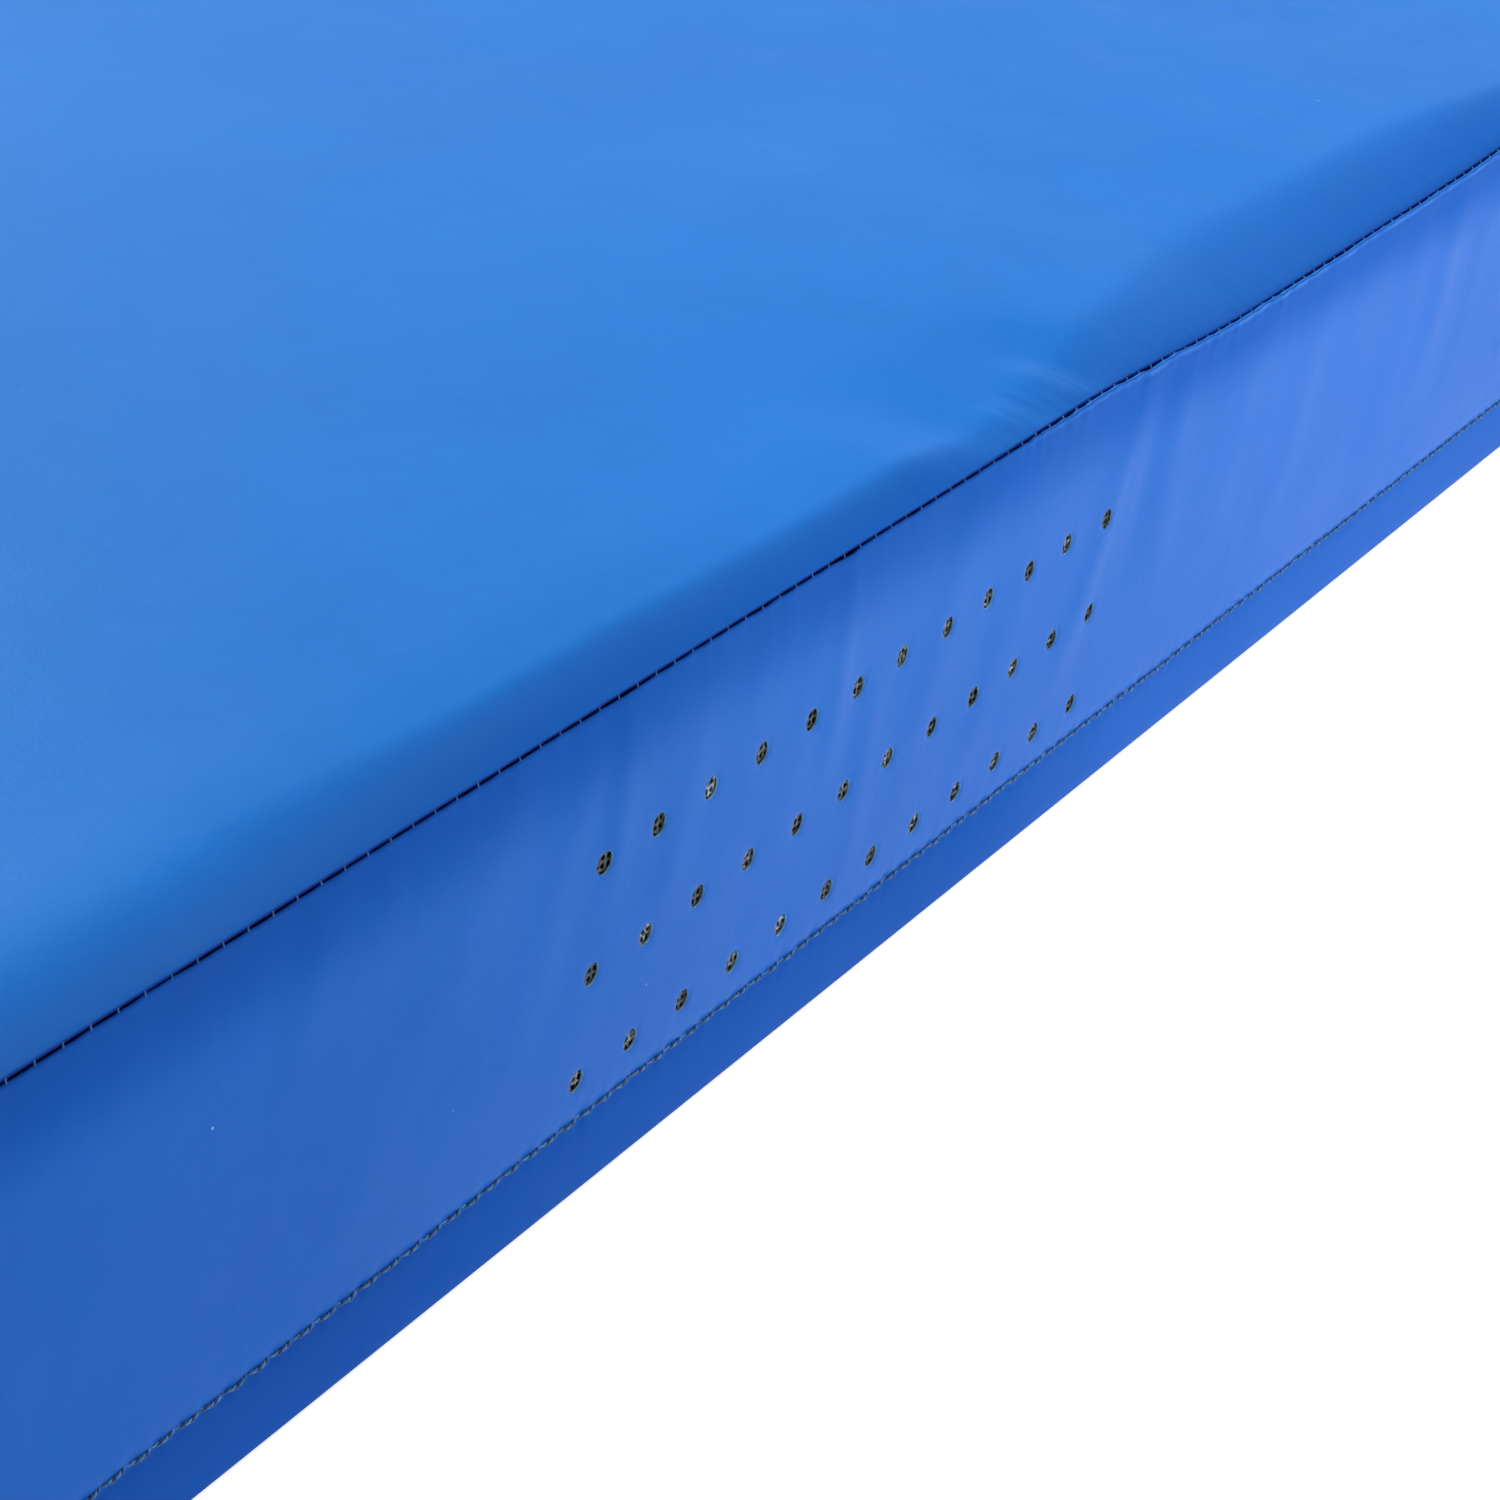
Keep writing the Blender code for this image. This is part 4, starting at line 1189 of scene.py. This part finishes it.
def add_hem_thread():
    """A line of lockstitch round the hem. On the front's finely meshed stretch it is two strands that wind
    round each other: the thin pale one is a painted highlight on the dark thread's twist.
    """
    dark, light, plain = [], [], []
    for side in SIDES:
        holes = int((SIDES[side].half - CORNER) / STITCH)
        for hole in range(-holes, holes):
            near = side == "front" and FINE_START - STITCH <= hole * STITCH <= MEDIUM_END
            samples = 15 if near else 5
            path = hem_path(side, hole, samples)
            if not near:
                plain.append((path, UP))
                continue
            turn = np.linspace(0, 5.2 * math.pi, samples) + hole
            winding = np.cos(turn)[:, None] * SIDES[side].outward + np.sin(turn)[:, None] * UP
            dark.append((path + 0.16 * MM * winding, UP))
            # The pale strand is a painted highlight on the thread.
            light.append((path - 0.16 * MM * winding, UP))
    pieces = (
        ("hem_stitches_dark", dark, 0.29 * MM, 7, "dark_thread"),
        ("hem_stitches_painted_highlight", light, 0.19 * MM, 7, "light_thread"),
        ("hem_stitches_all_round", plain, 0.45 * MM, 5, "dark_thread"),
    )
    for name, paths, radius, sides, finish in pieces:
        finish_piece(tubes(name, paths, radius, sides, FINISH[finish]), "thread", "hem_thread")


def seam_stitch(side, s, samples):
    """A stitch that bridges the groove of the top seam."""
    _, depth, along, outward, _ = SIDES[side]
    t = np.linspace(-1, 1, samples)
    out = depth - LIP_DEPTH / 2 - float(seam_inset(s, side)) - 0.30 * MM * t
    z = float(seam_height(s, side)) - LIP_DEPTH / 2 + 0.30 * MM * t
    return (s + 0.22 * MM * t)[:, None] * along + out[:, None] * outward + z[:, None] * UP


def corner_stitches(x_sign, y_sign):
    """The stitches of one of the upright seams where two sides meet."""
    diagonal = np.array((x_sign, y_sign, 0.0)) / math.sqrt(2)
    across = np.array((-y_sign, x_sign, 0.0)) / math.sqrt(2)
    corner = np.array((x_sign * HALF_LENGTH, y_sign * HALF_WIDTH, 0.0))
    seam = corner - diagonal * (CORNER * (math.sqrt(2) - 1) + 0.7 * MM)
    t = np.linspace(-1, 1, 5)
    for z in np.arange(HEM_Z + STITCH, SEAM_Z - 4 * MM, STITCH):
        yield seam + (t * 1.2 * MM)[:, None] * across + (z + 0.3 * MM * t)[:, None] * UP, UP


def add_seam_thread():
    near, rest = [], []
    for side in SIDES:
        holes = int((SIDES[side].half - CORNER) / STITCH)
        for hole in range(-holes, holes + 1):
            s = hole * STITCH
            fine = side == "front" and FINE_START <= s <= MEDIUM_END
            path = seam_stitch(side, s, 7 if fine else 4)
            (near if fine else rest).append((path, SIDES[side].along))
    for x_sign in (-1, 1):
        for y_sign in (-1, 1):
            rest += corner_stitches(x_sign, y_sign)
    seam = tubes("top_seam_stitches", near, 0.17 * MM, 6, FINISH["seam_thread"])
    finish_piece(seam, "thread", "top_seam_thread")
    nodes = [f"{corner}_corner_thread" for corner in ("front_left", "front_right", "rear_left", "rear_right")]
    around = tubes("seam_stitches_all_round", rest, 0.20 * MM, 5, FINISH["dark_thread"])
    finish_piece(around, "thread", *nodes)


# The netting behind the vents

NET_PITCH = 1.6 * MM
NET_SHEET = 0.3 * MM
NET_CLEARANCE = 0.18 * MM
NET_SHOWN = 4.6 * MM  # the netting is cut open within this distance of a vent's middle


def net_opening(middle, corners, first, radius, tilt, round_hole):
    """The points of one opening of the netting, and the four faces round it."""
    points, faces = [], []
    for k in range(8):
        angle = -0.75 * math.pi + k * math.pi / 4
        reach = radius if round_hole else radius * (1 + 0.12 * math.cos(3 * (angle - tilt)))
        points.append(middle + reach * np.array((math.cos(angle), math.sin(angle))))
    for k in range(4):
        hole = [first + (2 * k + n) % 8 for n in (2, 1, 0)]
        faces.append([corners[k], corners[(k + 1) % 4], *hole])
    return points, faces


def add_netting(side):
    """Warp-knitted mesh: round and three-cornered openings, cut through wherever a vent shows it."""
    low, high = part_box(f"{side}_vent_netting")
    x, z = np.meshgrid(
        np.arange(low.x, high.x + ROUNDING, NET_PITCH), np.arange(low.z, high.z + ROUNDING, NET_PITCH)
    )
    grid = np.column_stack([x.ravel(), z.ravel()])
    faces, extra = [], []
    rng = np.random.default_rng(17)
    stretch = rng.uniform(0.80, 1.0, (VENT_COLUMNS + 2, len(VENT_HEIGHTS)))
    for corners in grid_faces(*x.shape):
        middle = grid[corners].mean(axis=0)
        if not any(math.dist(middle, place) < NET_SHOWN for place in VENT_PLACES):
            faces.append(corners)
            continue
        j, i = divmod(corners[0], x.shape[1])
        round_hole = (i + j) % 2 == 0
        column = int(np.clip(middle[0] / VENT_PITCH + VENT_COLUMNS / 2, 0, VENT_COLUMNS))
        row = int(np.argmin(np.abs(middle[1] - np.array(VENT_HEIGHTS))))
        share = (0.40 if round_hole else 0.47) * rng.uniform(0.86, 1.0) * stretch[column, row]
        tilt = rng.uniform(-0.3, 0.3) + math.pi * (j % 2)
        first = len(grid) + len(extra)
        points, around = net_opening(middle, corners, first, share * NET_PITCH, tilt, round_hole)
        extra += points
        faces += around
    plane = np.vstack([grid, extra])
    direction = SIDES[side].along[0]
    outer = place_side(plane[:, 0] * direction, at_height(plane[:, 1]), side)
    in_holes = np.arange(len(plane)) >= len(grid)
    behind = SHEET + NET_CLEARANCE + np.where(in_holes, 0.10 * MM, 0.0)
    outer -= behind[:, None] * SIDES[side].outward
    if direction < 0:
        faces = [face[::-1] for face in faces]
    piece = thick_sheet(f"{side}_vent_mesh", outer, faces, FINISH["netting"], NET_SHEET)
    finish_piece(piece, "netting", f"{side}_vent_netting")


# The foam core and the base


def rounded_slab(name, low, high, radius, finish, crown=0.0, cell=40 * MM):
    """A block of foam with rounded edges, and a top that swells by `crown`."""
    low, high = np.array(low), np.array(high)
    middle, half = (low + high) / 2, (high - low) / 2
    points, faces, index = [], [], {}
    lines = []
    for reach in half:
        count = max(2, round(2 * reach / cell)) + 1
        inner = reach - radius
        lines.append(np.concatenate([[-1], np.linspace(-inner, inner, count) / reach, [1]]))

    def corner(place):
        key = tuple(np.round(place, 6))
        if key not in index:
            index[key] = len(points)
            points.append(place)
        return index[key]

    def add_face(axis, end):
        a, b = (axis + 1) % 3, (axis + 2) % 3
        for i in range(len(lines[a]) - 1):
            for j in range(len(lines[b]) - 1):
                quad = []
                for p, q in ((i, j), (i + 1, j), (i + 1, j + 1), (i, j + 1)):
                    place = np.zeros(3)
                    place[axis], place[a], place[b] = end, lines[a][p], lines[b][q]
                    quad.append(corner(place))
                faces.append(quad if end > 0 else quad[::-1])

    for axis in range(3):
        for end in (-1, 1):
            add_face(axis, end)
    unit = np.array(points) * half
    core = np.clip(unit, -(half - radius), half - radius)
    away = unit - core
    unit = core + away / np.maximum(np.linalg.norm(away, axis=1)[:, None], 1e-9) * radius
    swell = 1 - (np.abs(unit[:, :2] / half[:2]) ** 4).max(axis=1)
    unit[:, 2] += crown * swell * (unit[:, 2] > half[2] - radius)
    return new_object(name, unit + middle, faces, finish)


def add_core():
    for name, node, finish, fill, dip, radius, crown in (
        ("firm_foam_core", "firm_foam_layer", "firm_foam", 1.0, 0.0, 2 * MM, 0.0),
        ("soft_foam_core", "soft_foam_layer", "soft_foam", 0.9, 1.5 * MM, 6 * MM, 3.0 * MM),
    ):
        low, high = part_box(node)
        high.z -= dip
        piece = rounded_slab(name, low, high, radius, FINISH[finish], crown)
        finish_piece(piece, finish, node)


BASE_SHEET = 0.8 * MM
BASE_REACH = 5.2 * MM  # from the side's face in to where the base turns up
BASE_TURN = (  # how far out and how high, in millimetres
    (1.2, 0.45), (2.4, 1.2), (2.9, 2.6), (3.0, 6.0), (3.0, 12.0),
)


def add_base():
    """The underside, turned up inside the sides as far as the hem, with raised non-slip dots."""
    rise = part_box("base_panel")[1].z
    reach_x, reach_y = HALF_LENGTH - BASE_REACH, HALF_WIDTH - BASE_REACH
    x, y = np.meshgrid(
        joined(multiples(20 * MM, -0.98, 0.98), [-reach_x, reach_x]),
        joined(multiples(20 * MM, -0.48, 0.48), [-reach_y, reach_y]),
    )
    flat = np.column_stack([x.ravel(), y.ravel(), np.full(x.size, 0.30 * MM)])
    faces = [quad[::-1] for quad in grid_faces(*x.shape)]
    ring = grid_border(*x.shape)
    border = flat[ring]
    points = [flat]
    for turn, (out, height) in enumerate(BASE_TURN + ((BASE_TURN[-1][0], rise / MM),)):
        grown = ((reach_x + out * MM) / reach_x, (reach_y + out * MM) / reach_y, 0)
        points.append(border * grown + (0, 0, height * MM))
        first = len(flat) + turn * len(ring)
        new_ring = list(range(first, first + len(ring)))
        for k in range(len(ring)):
            n = (k + 1) % len(ring)
            faces.append([new_ring[k], new_ring[n], ring[n], ring[k]])
        ring = new_ring
    piece = thick_sheet("base_cover", np.vstack(points), faces, FINISH["base_vinyl"], BASE_SHEET)
    finish_piece(piece, "base_vinyl", "base_panel")


# The handles

# Distances from the handle's middle, where it bows out and hangs
BOW_FLAT = 30 * MM
GRIP_HALF = 42.5 * MM
TWIST_FROM = 75 * MM
FREE_HALF = 85 * MM
SEWN_HALF = 130 * MM
WEB_HALF = 15 * MM
WEB_THICK = 1.6 * MM
WEB_CLEARANCE = 0.3 * MM  # between the webbing and the flat of the side
WEB_ROUND = 0.8 * MM  # radius of its edges
BOW = 30 * MM
HANG = math.radians(45)


def web_rise(x):
    return BOW * smooth((FREE_HALF - np.abs(x)) / (FREE_HALF - BOW_FLAT))


def web_loops(x, sign):
    """A loop of points round the webbing at each distance x from the handle's middle."""
    turn = HANG * smooth((TWIST_FROM - np.abs(x)) / (TWIST_FROM - GRIP_HALF))
    flat = np.zeros(len(x))
    out = np.column_stack([flat, sign * np.cos(turn), -np.sin(turn)])
    up = np.column_stack([flat, sign * np.sin(turn), np.cos(turn)])
    across = np.concatenate([[-1, -0.985], np.linspace(-0.95, 0.95, 20), [0.985, 1]]) * WEB_HALF
    middle = np.column_stack([x, flat, flat]) + web_rise(x)[:, None] * out
    rows = middle[:, None] + across[None, :, None] * up[:, None]
    step = MM / 100
    slope = (web_rise(x + step) - web_rise(x)) / step
    normal = out / np.hypot(1, slope)[:, None]
    normal[:, 0] = -slope / np.hypot(1, slope)
    rounding = np.clip((np.abs(across) - (WEB_HALF - WEB_ROUND)) / WEB_ROUND, 0, 1)
    half_thick = WEB_THICK / 2 * np.sqrt(np.clip(1 - rounding**2, 0.05, 1))
    ribs = 0.06 * MM * np.sin(2 * math.pi * across / (2.4 * MM))
    front = rows + normal[:, None] * (half_thick + ribs)[None, :, None]
    back = rows - normal[:, None] * half_thick[None, :, None]
    return np.concatenate([front, back[:, ::-1]], axis=1)


def add_handle(side, end):
    """A webbing handle in two halves that meet in its middle, each bending from mat to grip."""
    name = f"{side}_{end}_handle"
    sign = SIDES[side].outward[1]
    grip_low, grip_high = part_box(f"{name}_grip")
    stitch_low, stitch_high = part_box(f"{name}_left_stitch")
    axis_y = sign * (HALF_WIDTH + WEB_CLEARANCE + WEB_THICK / 2)
    centre = np.array(((grip_low.x + grip_high.x) / 2, axis_y, (stitch_low.z + stitch_high.z) / 2))
    distances = joined(
        np.linspace(0, GRIP_HALF, 22),
        np.linspace(GRIP_HALF, FREE_HALF, 26),
        np.linspace(FREE_HALF, SEWN_HALF, 20),
    )
    for half, direction, x in (("left", -1, -distances[::-1]), ("right", 1, distances)):
        loops = web_loops(x, sign) + centre
        count, around = loops.shape[:2]
        faces = []
        for i in range(count - 1):
            for k in range(around):
                n = (k + 1) % around
                faces.append([i * around + k, (i + 1) * around + k, (i + 1) * around + n, i * around + n])
        faces.append(list(range(around)))
        faces.append(list(range(count * around - 1, (count - 1) * around - 1, -1)))
        if sign > 0:
            faces = [face[::-1] for face in faces]
        piece = new_object(f"{name}_{half}_webbing", loops.reshape(-1, 3), faces, FINISH["webbing"])
        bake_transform(piece)
        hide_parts(f"{name}_{half}_tab", *([f"{name}_grip"] if half == "left" else []))
        add_box_stitch(f"{name}_{half}_stitching", f"{name}_{half}_stitch", sign)


def stitch_run(length, pitch, height):
    """The shares of the way and the heights of the points of each stitch along a line."""
    count = max(1, round(length / pitch))
    t = np.linspace(-0.5, 0.5, 6)
    arch = height * (1 - (2 * np.abs(t)) ** 3 * 1.8)
    for k in range(count):
        yield (k + 0.5 + t * 0.94) / count, arch


def add_box_stitch(name, node, sign):
    """A rectangle of stitches with a cross inside it."""
    low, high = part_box(node)
    outward = np.array((0, sign, 0.0))
    y = sign * (abs(low.y if sign < 0 else high.y) - 0.45 * MM)
    places = ((low.x, low.z), (high.x, low.z), (high.x, high.z), (low.x, high.z))
    corners = [np.array((x, y, z)) for x, z in places]
    lines = [(corners[k], corners[(k + 1) % 4]) for k in range(4)]
    lines += [(corners[0], corners[2]), (corners[1], corners[3])]
    paths = []
    for start, stop in lines:
        run = stop - start
        length = np.linalg.norm(run)
        for share, arch in stitch_run(length, 3.2 * MM, 0.45 * MM):
            path = start + share[:, None] * run + arch[:, None] * outward
            paths.append((path, np.cross(run / length, outward)))
    finish_piece(tubes(name, paths, 0.36 * MM, 6, FINISH["light_thread"]), "thread", node)


# The zip


def on_end(y, z, lift):
    """Points `lift` outside the cover of the end with the zip."""
    side = SIDES["right"]
    turn = round_corner(y, "right")[2]
    direction = np.cos(turn)[:, None] * side.outward + np.sin(turn)[:, None] * side.along
    return place_side(y, at_height(z), "right") + np.asarray(lift)[..., None] * direction


def end_stitches(start, stop, pitch, lift=0.0):
    """Stitches along a line on the end with the zip, between two (y, z) points."""
    start, stop = np.array(start), np.array(stop)
    run = stop - start
    beside = UP if abs(run[0]) > abs(run[1]) else np.array((0, 1.0, 0))
    paths = []
    for share, arch in stitch_run(np.linalg.norm(run), pitch, 0.40 * MM):
        line = start + share[:, None] * run
        paths.append((on_end(line[:, 0], line[:, 1], lift + arch), beside))
    return paths


COIL_PITCH = 2.2 * MM
COIL_WIRE = 0.40 * MM


def coil_teeth(low, high, direction, shift):
    """The turns of one half of a coil zip, whose heads point up or down the z direction."""
    turn = np.linspace(-0.5 * math.pi, 1.5 * math.pi, 11)[:-1] + 0.3
    x = (low.x + high.x) / 2 + 1.05 * MM * np.sin(turn)
    z = (low.z + high.z) / 2 + direction * ((high.z - low.z) / 2 - 0.35 * MM) * np.cos(turn)
    for y in np.arange(low.y + 1.2 * MM + shift, high.y - 1.2 * MM, COIL_PITCH):
        yield np.column_stack([x, y + 0.35 * MM * np.sin(turn), z]), (0, 1.0, 0)


def add_zip():
    for half, direction, shift in (("lower", 1, 0.0), ("upper", -1, COIL_PITCH / 2)):
        add_tape(f"zip_{half}_webbing", f"zip_{half}_tape")
        teeth = coil_teeth(*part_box(f"zip_{half}_teeth"), direction, shift)
        coil = tubes(f"zip_{half}_coil", teeth, COIL_WIRE, 6, FINISH["zip_teeth"], taper=0.9)
        finish_piece(coil, "zip_teeth", f"zip_{half}_teeth")
        low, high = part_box(f"zip_{half}_stitch")
        z = (low.z + high.z) / 2
        paths = end_stitches((low.y, z), (high.y, z), 4 * MM)
        stitches = tubes(f"zip_{half}_stitches", paths, 0.30 * MM, 6, FINISH["light_thread"])
        finish_piece(stitches, "thread", f"zip_{half}_stitch")


def add_tape(name, node):
    low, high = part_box(node)
    y, z = np.meshgrid(multiples(2 * MM, low.y, high.y), np.linspace(low.z, high.z, 8))
    ribs = 0.06 * MM * np.sin(z * 2 * math.pi / (1.6 * MM))
    waves = 0.05 * MM * np.sin(y * 2 * math.pi / (50 * MM))
    outer = np.column_stack([(high.x + ribs + waves).ravel(), y.ravel(), z.ravel()])
    piece = thick_sheet(name, outer, grid_faces(*y.shape), FINISH["zip_tape"], 0.7 * MM)
    finish_piece(piece, "zip_tape", node)


PATCH_LIFT = SHEET + 0.25 * MM


def add_patch(name, node):
    """A square of vinyl over the end of the zip, sewn down round its edge and caught in the
    corner's seam."""
    low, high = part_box(node)
    sign = math.copysign(1, low.y)
    corner_lines = side_ends("right")[1]
    straight = HALF_WIDTH - CORNER
    inner, outer_end = min(abs(low.y), abs(high.y)), corner_lines[-1] - 0.5 * TUCK
    y, z = np.meshgrid(
        joined(np.linspace(inner, straight, 14), corner_lines[:-1], [outer_end]),
        np.linspace(low.z, high.z, 14),
    )
    faces = grid_faces(*y.shape)
    y, z = y.ravel(), z.ravel()
    edge = np.minimum(y - inner, np.minimum(z - low.z, high.z - z))
    flat_part = smooth((straight + CORNER_ARC - y) / (3 * MM))
    lift = PATCH_LIFT * (0.25 + 0.75 * flat_part) + 0.15 * MM * smooth(edge / (6 * MM)) * flat_part
    if sign < 0:
        faces = [face[::-1] for face in faces]
    piece = thick_sheet(name, on_end(sign * y, z, lift), faces, FINISH["cover_vinyl"])
    finish_cover(piece, node, "right_end_upper_cover", flat=(high.z - low.z, outer_end - inner))
    near, far = sign * (inner + 3 * MM), sign * (straight - 1 * MM)
    bottom, top = low.z + 3 * MM, high.z - 3 * MM
    corners = [(near, bottom), (far, bottom), (far, top), (near, top)]
    paths = []
    for k in range(4):
        paths += end_stitches(corners[k], corners[(k + 1) % 4], 3.5 * MM, PATCH_LIFT)
    finish_piece(tubes(f"{name}_stitches", paths, 0.30 * MM, 6, FINISH["light_thread"]), "thread")


def finish_cad_nodes():
    """The zip's metal pieces show their own shape, and get a detailed finish."""
    for node in ("zip_slider", "zip_pull", "zip_front_stop", "zip_rear_stop"):
        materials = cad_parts[node].data.materials
        if not materials:
            materials.append(FINISH["zip_metal"])
        for index in range(len(materials)):
            materials[index] = FINISH["zip_metal"]


add_camera()
add_floor()
add_light()
add_long_side("front")
add_long_side("rear")
add_ends()
add_top()
add_hem_thread()
add_seam_thread()
add_netting("front")
add_netting("rear")
add_core()
add_base()
for long_side in ("front", "rear"):
    for handle_end in ("left", "right"):
        add_handle(long_side, handle_end)
add_zip()
for zip_end in ("front", "rear"):
    add_patch(f"zip_{zip_end}_patch_cover", f"zip_{zip_end}_patch")
finish_cad_nodes()
